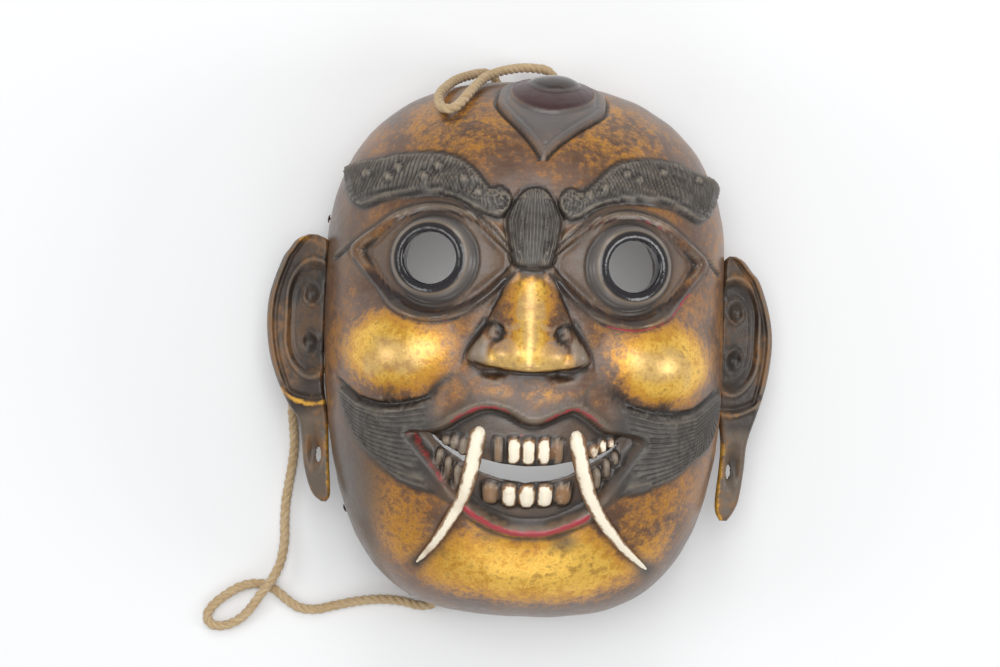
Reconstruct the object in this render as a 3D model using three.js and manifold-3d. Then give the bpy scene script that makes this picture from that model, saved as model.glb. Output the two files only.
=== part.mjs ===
// A carved wooden dance mask: the face of a fanged, three-eyed guardian with a drooping moustache
// and long ears. It lies on its flat rim with the face up: +Z is out of the face and +Y is towards
// the crown. Left and right are as the viewer sees them. Millimetres.

import * as THREE from 'three';
import { mergeVertices } from 'three/addons/utils/BufferGeometryUtils.js';
import Module from 'manifold-3d';

const wasm = await Module();
wasm.setup();

// Skull: an outline that is round at the crown and squarer at the jaw, under a domed front
const HALF_WIDTH = 123;
const CROWN_REACH = 119;
const CHIN_REACH = 209;
const FACE_CENTRE_Y = 42;
const CROWN_POWER = 2.45;
const JAW_POWER = 3.1;
const JAW_SHIFT = 3.5;
const WIDEST_Z = 30;
const DOME = 122;
const CROWN_ROUNDNESS = 2.1;
const JAW_ROUNDNESS = 2.6;

// Hollow back and flat rim
const WALL = 15;
const WALL_LEAN = 14.4;
const BELOW_RIM = 14;
const FLOOR = 600;

// Grid that carries the carved front, and the plainer one inside
const FRONT_STEPS = [24, 31];
const HOLLOW_STEPS = [10, 12];
const SIDE_STEPS = 2;
const OUTLINE_FINENESS = 1.5;
const WELD = 0.05;

// Broad swellings and sinkings of the face: middle, half width, half height and rise
const SWELLINGS = [
  { part: 'eye socket', x: 56, y: 47, across: 52, up: 34, rise: -7 },
  { part: 'eyeball', x: 56, y: 47, across: 33, up: 33, rise: 10 },
  { part: 'cheek', x: 80, y: -5, across: 41, up: 36, rise: 11 },
  { part: 'muzzle', x: 0, y: -66, across: 80, up: 56, rise: 8 },
  { part: 'chin', x: 0, y: -136, across: 60, up: 34, rise: 6 },
];

// Nose: rounded lumps for the bridge, the tip and the two wings
const NOSE_BRIDGE = { at: [0, 20, 151], radii: [15, 40, 13], lean: -0.4 };
const NOSE_TIP = { at: [0, -4, 160], radii: [20, 14, 15], lean: 0 };
const NOSE_WING = { at: [24, -5, 149], radii: [15, 12, 12], lean: 0 };

// Eyes, mouth and the depth of the carving
const EYE = { x: 56, y: 47, z: 130, hole: 14.4, bore: 160, ring: 24, lip: 5.5, sunk: 9, tilt: 0.17 };
const EYE_SIDES = 16;
const MOUTH_DEPTH = 7;
const RAISE = 3.2;
const CUT_LOW = 60;
const CUT_HIGH = 190;
const BROW_LOW = 20;
const TOOTH = { width: 8.4, gap: 9.6, thick: 11, middle: 1, each: 2 };
const UPPER_ROW = { y: -60, height: 16, droop: -0.4 };
const LOWER_ROW = { y: -87, height: 15, droop: 0.8 };
const SIDE_TOOTH = { width: 6.4, x: 38, gap: 7.4, inset: 2, each: 2 };
const UPPER_SIDE = { y: -57, height: 10, climb: 2.5 };
const LOWER_SIDE = { y: -81, height: 9, climb: 5.5 };
const FANG = { root: 4.3, tip: 0.7, sides: 6, steps: 7, taper: 2.2, fullest: 1.4 };
const FANG_LIFT = [-5, -2.5, -1, -0.5, -0.8, -1, -1];

// Third eye: a leaf on the forehead, set by arc length up from its pointed tip, with a domed eye in it
const THIRD_EYE = {
  tipX: 4.2, tipAngle: 33.3, lean: 0.09, arc: 121, width: 32, length: 96, taper: 52, raise: 4,
};
const THIRD_IRIS = { up: 73, across: 25, reach: 24, rise: 3 };
const THIRD_PUPIL = { up: 74, radii: [14.6, 14.6, 5] };

// Ears
const EAR = { thick: 11, rootX: 118, rootZ: 44, sweep: 0.32, gap: 0.3 };

// Rope and the holes it is knotted through
const ROPE = 6;
const ROPE_SIDES = 8;
const ROPE_HOLE = 9.6;
const ROPE_HOLE_LENGTH = 46;
const ROPE_STEP = 15;
const KNOT = { radius: 8, length: 12, gap: 0.3 };

// Rim nails
const NAIL = { head: 2.6, dome: 1.1, shank: 0.8, depth: 7, hole: 1.2, z: 20, gap: 1.9 };
const NAIL_BEARINGS = [166, 234.3, 252, 271.4, 290.3, 14.7];

// Curves of the face, for the right half; the left half mirrors them
const BROW = [
  [111, 102.5], [93, 106.5], [63, 109], [45, 104], [33, 94], [25, 88], [15, 86], [14, 78], [22, 71.5],
  [35, 78.5], [46, 83], [60, 85.2], [75, 84.3], [88, 80.4], [99.7, 76.5],
];
const TUFT = [[0, 90], [8.3, 86.4], [15.5, 70], [13.8, 58], [11, 48.5]];
const MOUSTACHE = [
  [42, -20], [51, -30], [61, -34.6], [78, -38], [92, -38.2], [101, -35.5], [111, -28], [111, -42], [104, -57],
  [94, -67], [83, -75.6], [68, -82.5], [52, -86], [40, -87], [54, -70], [67.5, -53.5], [50, -49], [36, -41],
];
const LIPS = [
  [0, -43.5], [12, -38], [26, -36], [37, -41.5], [50, -49], [64, -53.5], [54, -68], [42, -85], [29, -97],
  [13, -104], [0, -105.5],
];
const SLOT = [
  [0, -69], [12, -68.4], [24, -66.6], [37, -64.2], [48, -59.5], [58, -54], [48, -64], [38, -70.5],
  [26, -76.3], [12, -79], [0, -79.8],
];
const FANG_LEFT = [
  [-26, -48], [-28, -56], [-30.5, -71], [-34, -87], [-41, -101], [-51.5, -118.5], [-62, -131.5],
];
const FANG_RIGHT = [
  [29, -48], [31, -58], [34, -72.5], [39, -88.5], [48.5, -104], [61, -118.5], [75, -131],
];

// Ear outlines, each from the crown side down the outer edge to the lobe and back up the head side
const EAR_LEFT = [
  [-112, 52], [-126, 61], [-138, 59.5], [-149, 45], [-156, 24], [-157, 5], [-154, -14], [-148, -31],
  [-141.5, -43], [-134.5, -56], [-130.5, -76], [-124, -96], [-117.5, -101.5], [-113.6, -96], [-114.5, -70],
  [-112, -40],
];
const EAR_RIGHT = [
  [112, 52], [123, 59], [134, 56.5], [145, 43], [152, 24], [154.5, 5], [152, -18], [147, -36], [141.5, -52],
  [137.5, -74], [133.5, -95], [128, -103.5], [122.5, -97], [123.5, -75], [124.5, -56], [112, -40],
];
const LOBE_SLOT = { width: 3.6, height: 9.5, through: 60 };
const LOBE_SLOT_PLACE = { left: [-121.5, -73, 0.18], right: [129.5, -73, -0.12] };
const CONCHA = { left: [-136, 12], right: [136, 10], radii: [11, 32, 7], turn: 0.1 };

// Rope routes: [x, y, z] along the middle of the rope, from one knot inside the hollow to the other
const SIDE_ROUTE = [
  [-103, -18, 14], [-113, -19, 14], [-122, -21, 14], [-131, -25, 12.5], [-138, -34, 8.5], [-141, -46, 4.8],
  [-140, -58.5, 3.3], [-139, -70, 3.2], [-140, -84, 3.2], [-142.5, -103, 3.2], [-143, -116, 3.4],
  [-142.5, -130, 4.8], [-144, -142.5, 7.4], [-147.5, -151.5, 9.5], [-151.5, -158, 9.9],
  [-156.5, -165, 9.2], [-162.5, -174, 6.8], [-169.5, -181, 4.6], [-178, -185, 3.4], [-186, -184.5, 3.2],
  [-189, -179, 3.2], [-185, -172, 3.2], [-177.5, -165.5, 3.2], [-169.5, -160.5, 3.2], [-161, -158, 3.2],
  [-153, -158.5, 3.2], [-146, -162, 3.2], [-139, -167.5, 3.2], [-131, -172, 3.2], [-121, -172.5, 3.2],
  [-109, -169.5, 3.3], [-94, -166, 4], [-79, -164.3, 5.2], [-66, -165, 6.6], [-56, -167, 7.8],
  [-47.5, -165, 9], [-42, -157, 9.8], [-39, -146.5, 10.2], [-37, -136.5, 10.4],
];
const CROWN_ROUTE = [
  [15, 134, 11.5], [15, 145, 11.5], [15, 156, 11.5], [14.5, 165, 13], [9, 170.5, 18.5], [2, 171, 25.5],
  [-6, 170.3, 33], [-14, 168.3, 41.5], [-22, 165.3, 51], [-30.2, 160.4, 63], [-35.5, 154.3, 78],
  [-39.5, 148.8, 89.5], [-43.5, 143.1, 97.5], [-48, 138.2, 103], [-53, 137, 103.5], [-57, 140, 97.5],
  [-57.5, 146.8, 84], [-53.5, 153.3, 68.5], [-47.5, 159.3, 51], [-41.2, 163, 39], [-34, 166, 28],
  [-28, 167, 19.5], [-23, 164, 13.2], [-20.5, 156, 11.5], [-19.5, 145, 11.5], [-18.5, 134, 11.5],
];
const SIDE_HOLE = { at: [-118, -20, 14], towards: [1, 0.13, 0] };
const JAW_HOLE = { at: [-41.3, -154, 9.9], towards: [0.28, 0.96, 0.03] };
const CROWN_HOLES = [
  { at: [15, 153, 11.7], towards: [0, -1, 0] },
  { at: [-20, 153, 11.7], towards: [0.09, -1, 0] },
];

const WOOD = { color: 0x7a4f22, roughness: 0.5, metalness: 0.25 };
const EAR_WOOD = { color: 0x4a3524, roughness: 0.55, metalness: 0.05 };
const HEMP = { color: 0x9a7d52, roughness: 0.9, metalness: 0 };
const IRON = { color: 0x3c3430, roughness: 0.6, metalness: 0.8 };

const smooth = THREE.MathUtils.smoothstep;
const { lerp } = THREE.MathUtils;
const bump = (q) => (q < 1 ? (1 - q * q) ** 2 : 0);
const mirrorX = ([x, y]) => [-x, y];
const bothSides = (half) => [...half, ...half.slice(1, -1).reverse().map(mirrorX)];

// A closed geometry as a solid that can be joined and cut
function solid(geometry) {
  const bare = new THREE.BufferGeometry();
  bare.setAttribute('position', geometry.getAttribute('position'));
  bare.setIndex(geometry.getIndex());
  const merged = mergeVertices(bare, 1e-4);
  return new wasm.Manifold(new wasm.Mesh({
    numProp: 3,
    vertProperties: merged.getAttribute('position').array,
    triVerts: Uint32Array.from(merged.getIndex().array),
  }));
}

// A solid as a geometry again, with corners closer than the weld distance drawn together
function geometryOf(body, weld = 1e-4) {
  const mesh = body.getMesh();
  const raw = new THREE.BufferGeometry();
  raw.setAttribute('position', new THREE.BufferAttribute(mesh.vertProperties, 3));
  raw.setIndex(new THREE.BufferAttribute(mesh.triVerts, 1));
  const geometry = mergeVertices(raw, weld);
  const corners = geometry.getIndex().array;
  const kept = [];
  for (let i = 0; i < corners.length; i += 3) {
    const [a, b, c] = corners.slice(i, i + 3);
    if (a !== b && b !== c && c !== a) kept.push(a, b, c);
  }
  geometry.setIndex(kept);
  geometry.computeVertexNormals();
  return geometry;
}

// Distance from the face centre to the widest outline, in the direction (c, s)
function outlineReach(c, s) {
  const reach = s >= 0 ? CROWN_REACH : CHIN_REACH;
  const power = s >= 0 ? CROWN_POWER : JAW_POWER;
  return (Math.abs(c / HALF_WIDTH) ** power + Math.abs(s / reach) ** power) ** (-1 / power);
}

// Raised leaf with the third eye, set by arc length up the forehead from its pointed tip
function thirdEyeRelief(x, angle) {
  const up = THIRD_EYE.arc * THREE.MathUtils.degToRad(angle - THIRD_EYE.tipAngle);
  const across = Math.abs(x - THIRD_EYE.tipX - THIRD_EYE.lean * up);
  const shoulder = THIRD_EYE.length - THIRD_EYE.width;
  const rounded = Math.sqrt(Math.max(0, 1 - Math.max(0, (up - shoulder) / THIRD_EYE.width) ** 2));
  const halfWidth = THIRD_EYE.width * smooth(up, 0, THIRD_EYE.taper) * rounded;
  const leaf = up > 0 ? THIRD_EYE.raise * smooth(halfWidth - across, -2, 3) : 0;
  const fromIris = Math.hypot(across / THIRD_IRIS.across, (up - THIRD_IRIS.up) / THIRD_IRIS.reach);
  return leaf + THIRD_IRIS.rise * bump(fromIris);
}

// Height of the carving over the plain dome at (x, y)
function relief(x, y) {
  const side = Math.abs(x);
  let height = 0;
  for (const swelling of SWELLINGS) {
    const across = (side - swelling.x) / swelling.across;
    const up = (y - swelling.y) / swelling.up;
    height += swelling.rise * bump(Math.hypot(across, up));
  }
  return height;
}

// A point of the carved front: (u, v) lies in the unit disc, and lift moves the surface outwards
function facePoint(u, v, lift, carved) {
  const radius = Math.min(Math.hypot(u, v), 1);
  const c = radius > 0 ? u / radius : 1;
  const s = radius > 0 ? v / radius : 0;
  const t = Math.sin(radius * Math.PI / 2);
  const reach = t * outlineReach(c, s);
  const x = reach * c;
  const y = reach * s;
  const round = lerp(CROWN_ROUNDNESS, JAW_ROUNDNESS, smooth(-y, 0, 80));
  const rise = DOME * Math.max(0, 1 - t ** round) ** (1 / round);
  const length = s >= 0 ? CROWN_REACH : CHIN_REACH;
  const normal = new THREE.Vector3(x / HALF_WIDTH ** 2, y / length ** 2, rise / DOME ** 2).normalize();
  const angle = THREE.MathUtils.radToDeg(Math.asin(t));
  const height = carved ? relief(x, y + FACE_CENTRE_Y) + (v > 0 ? thirdEyeRelief(x, angle) : 0) : 0;
  const jaw = JAW_SHIFT * smooth(-y, 0, 150);
  const base = new THREE.Vector3(x + jaw * t * t, y + FACE_CENTRE_Y, WIDEST_Z + rise);
  const fade = smooth(1 - radius, 0, 0.06);
  return base.addScaledVector(normal, height * fade + lift);
}

// A point of the wall, which leans in as it goes down from the widest outline past the rim
function wallPoint(c, s, down, lift) {
  const edge = facePoint(c, s, lift, false);
  const inset = 1 - WALL_LEAN * down * down / Math.hypot(edge.x, edge.y - FACE_CENTRE_Y);
  const y = FACE_CENTRE_Y + (edge.y - FACE_CENTRE_Y) * inset;
  return new THREE.Vector3(edge.x * inset, y, lerp(WIDEST_Z, -BELOW_RIM, down));
}

// A box bent into the head: its top face becomes the carved front and its sides the wall down to the rim
function headGeometry(steps, lift, carved) {
  const geometry = new THREE.BoxGeometry(2, 2, 2, steps[0], steps[1], SIDE_STEPS);
  const position = geometry.getAttribute('position');
  for (let i = 0; i < position.count; i += 1) {
    const a = position.getX(i);
    const b = position.getY(i);
    const level = position.getZ(i);
    const u = a * Math.sqrt(1 - b * b / 2);
    const v = b * Math.sqrt(1 - a * a / 2);
    const radius = Math.hypot(u, v);
    const [c, d] = radius > 1e-6 ? [u / radius, v / radius] : [1, 0];
    const front = level > 0.999;
    const point = front ? facePoint(u, v, lift, carved) : wallPoint(c, d, (1 - level) / 2, lift);
    if (level < -0.999) {
      point.x *= Math.min(radius, 1);
      point.y = lerp(FACE_CENTRE_Y, point.y, Math.min(radius, 1));
    }
    position.setXYZ(i, point.x, point.y, point.z);
  }
  return geometry;
}

// The hollow: the plain head pulled in by the wall thickness and run out below the rim
function hollowGeometry() {
  const geometry = headGeometry(HOLLOW_STEPS, 0, false);
  const position = geometry.getAttribute('position');
  const widthScale = (HALF_WIDTH - WALL) / HALF_WIDTH;
  const lengthScale = 1 - 2 * WALL / (CROWN_REACH + CHIN_REACH);
  const middleY = FACE_CENTRE_Y + (CROWN_REACH - CHIN_REACH) / 2;
  for (let i = 0; i < position.count; i += 1) {
    const z = position.getZ(i);
    const over = Math.max(0, z - WIDEST_Z) * (DOME - WALL - 1) / DOME;
    position.setX(i, position.getX(i) * widthScale);
    position.setY(i, middleY + (position.getY(i) - middleY) * lengthScale);
    position.setZ(i, z > WIDEST_Z ? WIDEST_Z + over : z * 2);
  }
  return geometry;
}

function outlineShape(points, tension) {
  const corners = points.map(([x, y]) => new THREE.Vector3(x, y, 0));
  const curve = new THREE.CatmullRomCurve3(corners, true, 'catmullrom', tension);
  const along = curve.getPoints(Math.round(points.length * OUTLINE_FINENESS)).slice(0, -1);
  return new THREE.Shape(along.map((p) => new THREE.Vector2(p.x, p.y)));
}

// A straight-sided block of an outline from z = low to z = high
function prism(points, low, high, tension = 0.4) {
  const shape = outlineShape(points, tension);
  const geometry = new THREE.ExtrudeGeometry(shape, { depth: high - low, bevelEnabled: false });
  return solid(geometry.translate(0, 0, low));
}

function box(width, height, depth, x, y, z) {
  return solid(new THREE.BoxGeometry(width, height, depth).translate(x, y, z));
}

// A round bar of the given radius from one point along a direction
function bar(at, towards, radius, length, sides = 8) {
  const axis = new THREE.Vector3(...towards).normalize();
  const geometry = new THREE.CylinderGeometry(radius, radius, length, sides);
  geometry.applyQuaternion(new THREE.Quaternion().setFromUnitVectors(new THREE.Vector3(0, 1, 0), axis));
  return solid(geometry.translate(...at));
}

// Height of the carved front over (x, y), found by walking the dome's own coordinates
function frontZ(x, y) {
  const s = y - FACE_CENTRE_Y;
  const far = Math.hypot(x, s);
  const c = far > 0 ? x / far : 1;
  const t = Math.min(far / outlineReach(c, s / Math.max(far, 1e-6)), 0.999);
  const radius = Math.asin(t) * 2 / Math.PI;
  return facePoint(radius * c, radius * s / Math.max(far, 1e-6), 0, true).z;
}

// Raised collar around an eye hole, with a rounded lip
function eyeRing(side) {
  const { hole, ring, lip, sunk } = EYE;
  const inner = hole - 2;
  const outline = [
    [inner, -sunk], [inner, 1], [hole + 1.6, lip], [hole + 5, lip], [ring, 0], [ring, -sunk], [inner, -sunk],
  ];
  const profile = outline.map(([r, z]) => new THREE.Vector2(r, z)).reverse();
  const geometry = new THREE.LatheGeometry(profile, EYE_SIDES);
  geometry.rotateX(Math.PI / 2);
  geometry.rotateY(side * EYE.tilt);
  return solid(geometry.translate(side * EYE.x, EYE.y, frontZ(side * EYE.x, EYE.y)));
}

// A tapering tusk whose middle line follows the points over the lips and chin
function fang(points) {
  const middle = points.map(([x, y], i) => new THREE.Vector3(x, y, frontZ(x, y) + FANG_LIFT[i]));
  const path = new THREE.CatmullRomCurve3(middle);
  const geometry = new THREE.CylinderGeometry(FANG.tip, FANG.root, 1, FANG.sides, FANG.steps);
  const position = geometry.getAttribute('position');
  for (let i = 0; i < position.count; i += 1) {
    const along = THREE.MathUtils.clamp(position.getY(i) + 0.5, 0, 1);
    const centre = path.getPointAt(along);
    const tangent = path.getTangentAt(along);
    const across = tangent.clone().cross(new THREE.Vector3(0, 0, 1)).normalize();
    const outward = across.clone().cross(tangent).normalize();
    const taper = along < 0.999 ? (1 - along ** FANG.taper) / (1 - along) / FANG.taper : 1;
    const fullness = Math.min(taper, FANG.fullest);
    centre.addScaledVector(across, position.getX(i) * fullness);
    centre.addScaledVector(outward, position.getZ(i) * fullness);
    position.setXYZ(i, centre.x, centre.y, centre.z);
  }
  return solid(geometry);
}

// A tooth standing out of the sunken gum
function tooth(width, height, x, y) {
  return box(width, height, TOOTH.thick, x, y, frontZ(x, y) - MOUTH_DEPTH);
}

// Rows of teeth above and below the slot between the fangs, with smaller ones outside the fangs
function teeth() {
  const all = [];
  for (let i = -TOOTH.each; i <= TOOTH.each; i += 1) {
    const x = i * TOOTH.gap + TOOTH.middle;
    for (const row of [UPPER_ROW, LOWER_ROW]) {
      all.push(tooth(TOOTH.width, row.height, x, row.y + Math.abs(i) * row.droop));
    }
  }
  for (const side of [-1, 1]) {
    for (let i = 0; i < SIDE_TOOTH.each; i += 1) {
      const x = side * (SIDE_TOOTH.x + i * SIDE_TOOTH.gap);
      const lowerX = x - side * SIDE_TOOTH.inset;
      all.push(tooth(SIDE_TOOTH.width, UPPER_SIDE.height, x, UPPER_SIDE.y + i * UPPER_SIDE.climb));
      all.push(tooth(SIDE_TOOTH.width, LOWER_SIDE.height, lowerX, LOWER_SIDE.y + i * LOWER_SIDE.climb));
    }
  }
  return all;
}

// A rounded lump, turned about the X axis by its lean
function lump({ at, radii, lean }, side = 1) {
  const geometry = new THREE.SphereGeometry(1, 12, 8).rotateX(Math.PI / 2).scale(...radii).rotateX(lean);
  return solid(geometry.translate(side * at[0], at[1], at[2]));
}

// The domed pupil of the third eye, standing square to the forehead
function thirdPupil() {
  const bearing = THREE.MathUtils.degToRad(THIRD_EYE.tipAngle) + THIRD_PUPIL.up / THIRD_EYE.arc;
  const v = bearing * 2 / Math.PI;
  const u = v * (THIRD_EYE.tipX + THIRD_EYE.lean * THIRD_PUPIL.up) / (CROWN_REACH * Math.sin(bearing));
  const at = facePoint(u, v, 0, true);
  const outward = facePoint(u, v, 1, true).sub(at).normalize();
  const geometry = new THREE.SphereGeometry(1, 12, 8).rotateX(Math.PI / 2).scale(...THIRD_PUPIL.radii);
  geometry.applyQuaternion(new THREE.Quaternion().setFromUnitVectors(new THREE.Vector3(0, 0, 1), outward));
  return solid(geometry.translate(at.x, at.y, at.z));
}

// Where a nail sits on the wall, by its bearing around the face centre
function nailPlace(degrees) {
  const bearing = THREE.MathUtils.degToRad(degrees);
  const down = (WIDEST_Z - NAIL.z) / (WIDEST_Z + BELOW_RIM);
  const at = wallPoint(Math.cos(bearing), Math.sin(bearing), down, NAIL.gap);
  const beside = wallPoint(Math.cos(bearing + 0.02), Math.sin(bearing + 0.02), down, NAIL.gap);
  const outward = beside.sub(at).cross(new THREE.Vector3(0, 0, 1)).normalize();
  return { at, outward };
}

// Iron nail: a domed head over a shank that runs into the wall
function nailGeometry(place) {
  const { head, dome, shank, depth } = NAIL;
  const profile = [[0, dome], [head * 0.7, dome * 0.7], [head, 0], [shank, 0], [shank, -depth], [0, -depth]];
  const geometry = new THREE.LatheGeometry(profile.map(([r, z]) => new THREE.Vector2(r, z)).reverse(), 8);
  const turn = new THREE.Quaternion().setFromUnitVectors(new THREE.Vector3(0, 1, 0), place.outward);
  geometry.applyQuaternion(turn);
  return geometry.translate(place.at.x, place.at.y, place.at.z);
}

function carveMask(headOuter, nails) {
  const raised = solid(headGeometry(FRONT_STEPS, RAISE, true));
  const sunk = solid(headGeometry(FRONT_STEPS, -MOUTH_DEPTH, true));
  let body = headOuter;
  for (const half of [BROW, MOUSTACHE]) {
    body = body.add(prism(half, BROW_LOW, CUT_HIGH).intersect(raised));
    body = body.add(prism(half.map(mirrorX).reverse(), BROW_LOW, CUT_HIGH).intersect(raised));
  }
  body = body.add(prism(bothSides(TUFT), CUT_LOW, CUT_HIGH).intersect(raised));
  body = body.subtract(prism(bothSides(LIPS), CUT_LOW, CUT_HIGH).subtract(sunk));
  const lumps = [lump(NOSE_BRIDGE), lump(NOSE_TIP), lump(NOSE_WING, -1), lump(NOSE_WING, 1), thirdPupil()];
  for (const raisedPiece of [...teeth(), ...lumps, eyeRing(-1), eyeRing(1)]) {
    body = body.add(raisedPiece);
  }
  body = body.subtract(solid(hollowGeometry()));
  body = body.subtract(prism(bothSides(SLOT), CUT_LOW, CUT_HIGH, 0.3));
  for (const side of [-1, 1]) {
    const middle = [side * EYE.x, EYE.y, EYE.z];
    body = body.subtract(bar(middle, [side * EYE.tilt, 0, 1], EYE.hole, EYE.bore, EYE_SIDES));
  }
  body = body.add(fang(FANG_LEFT)).add(fang(FANG_RIGHT));
  for (const hole of [SIDE_HOLE, JAW_HOLE, ...CROWN_HOLES]) {
    body = body.subtract(bar(hole.at, hole.towards, ROPE_HOLE / 2, ROPE_HOLE_LENGTH));
  }
  for (const { at, outward } of nails) {
    body = body.subtract(bar(at.toArray(), outward.toArray(), NAIL.hole, NAIL.depth * 2 + 1, 6));
  }
  return body.subtract(box(FLOOR, FLOOR, FLOOR, 0, 0, -FLOOR / 2));
}

// An ear: its outline in the face's own plane, swept back towards its outer edge, hollowed and pierced
function carveEar(points, side, keepClear) {
  let ear = prism(points, EAR.rootZ, EAR.rootZ + EAR.thick, 0.45);
  const [slotX, slotY, turn] = side < 0 ? LOBE_SLOT_PLACE.left : LOBE_SLOT_PLACE.right;
  const slotRadius = LOBE_SLOT.width / 2;
  const slot = new THREE.CylinderGeometry(slotRadius, slotRadius, LOBE_SLOT.through, 8).rotateX(Math.PI / 2);
  slot.scale(1, LOBE_SLOT.height / LOBE_SLOT.width, 1).rotateZ(turn).translate(slotX, slotY, EAR.rootZ);
  const [conchaX, conchaY] = side < 0 ? CONCHA.left : CONCHA.right;
  const concha = new THREE.SphereGeometry(1, 12, 8).scale(...CONCHA.radii);
  concha.rotateZ(side * -CONCHA.turn).translate(conchaX, conchaY, EAR.rootZ + EAR.thick + 1);
  ear = ear.subtract(solid(slot)).subtract(solid(concha));
  const geometry = geometryOf(ear);
  const position = geometry.getAttribute('position');
  for (let i = 0; i < position.count; i += 1) {
    const outwards = side * position.getX(i) - EAR.rootX;
    position.setZ(i, position.getZ(i) - EAR.sweep * outwards);
  }
  return geometryOf(solid(geometry).subtract(keepClear));
}

function ropeGeometry(route) {
  const path = new THREE.CatmullRomCurve3(route.map((p) => new THREE.Vector3(...p)), false, 'centripetal');
  const section = new THREE.Shape();
  section.absarc(0, 0, ROPE / 2, 0, Math.PI * 2);
  const steps = Math.round(path.getLength() / ROPE_STEP);
  const finish = { steps, curveSegments: ROPE_SIDES / 2, extrudePath: path, bevelEnabled: false };
  return new THREE.ExtrudeGeometry(section, finish);
}

// Stopper knot on a rope's end, just inside the hollow: a rounded lump in line with the rope
function knotGeometry(route) {
  const end = new THREE.Vector3(...route[0]);
  const away = end.clone().sub(new THREE.Vector3(...route[1])).normalize();
  const geometry = new THREE.SphereGeometry(1, 8, 6).scale(KNOT.radius, KNOT.length / 2, KNOT.radius);
  geometry.applyQuaternion(new THREE.Quaternion().setFromUnitVectors(new THREE.Vector3(0, 1, 0), away));
  const centre = end.addScaledVector(away, KNOT.length / 2 + KNOT.gap);
  return geometry.translate(centre.x, centre.y, centre.z);
}

const group = new THREE.Group();

function place(name, geometry, finish) {
  const mesh = new THREE.Mesh(geometry, new THREE.MeshStandardMaterial(finish));
  mesh.name = name;
  group.add(mesh);
}

const nailPlaces = NAIL_BEARINGS.map(nailPlace);
const headOuter = solid(headGeometry(FRONT_STEPS, 0, true));
const headClear = solid(headGeometry(FRONT_STEPS, EAR.gap, true));

place('mask_face', geometryOf(carveMask(headOuter, nailPlaces), WELD), WOOD);
place('ear_left', carveEar(EAR_LEFT, -1, headClear), EAR_WOOD);
place('ear_right', carveEar([...EAR_RIGHT].reverse(), 1, headClear), EAR_WOOD);
nailPlaces.forEach((nail, i) => place(`rim_nail_${i + 1}`, nailGeometry(nail), IRON));
place('side_cord', ropeGeometry(SIDE_ROUTE), HEMP);
place('crown_cord', ropeGeometry(CROWN_ROUTE), HEMP);
place('side_cord_knot_ear', knotGeometry(SIDE_ROUTE), HEMP);
place('side_cord_knot_jaw', knotGeometry([...SIDE_ROUTE].reverse()), HEMP);
place('crown_cord_knot_right', knotGeometry(CROWN_ROUTE), HEMP);
place('crown_cord_knot_left', knotGeometry([...CROWN_ROUTE].reverse()), HEMP);

export default group;
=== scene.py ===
import math

import bmesh
import bpy
import numpy as np
from mathutils import Matrix, Vector


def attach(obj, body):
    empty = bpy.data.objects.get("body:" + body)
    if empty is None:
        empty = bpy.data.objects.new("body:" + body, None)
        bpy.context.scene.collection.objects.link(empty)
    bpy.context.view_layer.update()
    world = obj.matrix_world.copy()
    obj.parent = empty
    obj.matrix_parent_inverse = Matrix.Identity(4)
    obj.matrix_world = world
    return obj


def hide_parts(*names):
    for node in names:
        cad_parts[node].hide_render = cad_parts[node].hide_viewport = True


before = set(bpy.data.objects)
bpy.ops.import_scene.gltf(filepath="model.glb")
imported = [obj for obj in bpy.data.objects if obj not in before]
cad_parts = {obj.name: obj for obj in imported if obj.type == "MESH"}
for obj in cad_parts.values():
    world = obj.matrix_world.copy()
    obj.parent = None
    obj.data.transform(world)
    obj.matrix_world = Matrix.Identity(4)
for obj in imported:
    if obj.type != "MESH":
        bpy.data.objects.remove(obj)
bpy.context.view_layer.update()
mm = 0.001
scene = bpy.context.scene


# Small helpers for curves, meshes and materials; all drawing is in millimetres until the mesh is made

def smoothStep(x, low, high):
    q = np.clip((x - low) / (high - low), 0.0, 1.0)
    return q * q * (3 - 2 * q)


def bump(q):   # round swelling, 1 in the middle and 0 at q = 1
    return np.where(np.abs(q) < 1, (1 - q * q) ** 2, 0.0)


def bell(far, width):   # soft ridge or groove, 1 where far is 0
    return np.exp(-(far / width) ** 2)


def roundTop(q):   # half circle, 1 in the middle and 0 at q = 1
    return np.sqrt(np.clip(1 - q * q, 0, 1))


def oval(x, y, middle, across, up):
    return np.hypot((x - middle[0]) / across, (y - middle[1]) / up)


def curveThrough(points, steps=8, closed=False):
    p = np.array(points, float)
    before = np.roll(p, 1, 0) if closed else np.vstack([2 * p[0] - p[1], p[:-1]])
    after = np.roll(p, -1, 0) if closed else np.vstack([p[1:], 2 * p[-1] - p[-2]])
    last = np.roll(p, -2, 0) if closed else np.vstack([after[1:], 2 * after[-1] - after[-2]])
    count = len(p) if closed else len(p) - 1
    out = []
    for i in range(count):
        for q in np.arange(steps) / steps:
            a, b, c, d = before[i], p[i], after[i], last[i]
            out.append(0.5 * (2 * b + (c - a) * q + (2 * a - 5 * b + 4 * c - d) * q ** 2
                              + (3 * b - a - 3 * c + d) * q ** 3))
    out.append(p[0] if closed else p[-1])
    return np.array(out)


def measureLine(x, y, line):   # distance to a line and length along it to the nearest place
    best = np.full(x.shape, 1e9)
    along = np.zeros(x.shape)
    start = 0.0
    for a, b in zip(line[:-1], line[1:]):
        run = b - a
        length = math.hypot(*run)
        q = np.clip(((x - a[0]) * run[0] + (y - a[1]) * run[1]) / length ** 2, 0, 1)
        far = np.hypot(x - a[0] - q * run[0], y - a[1] - q * run[1])
        nearer = far < best
        best = np.where(nearer, far, best)
        along = np.where(nearer, start + q * length, along)
        start += length
    return best, along


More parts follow.
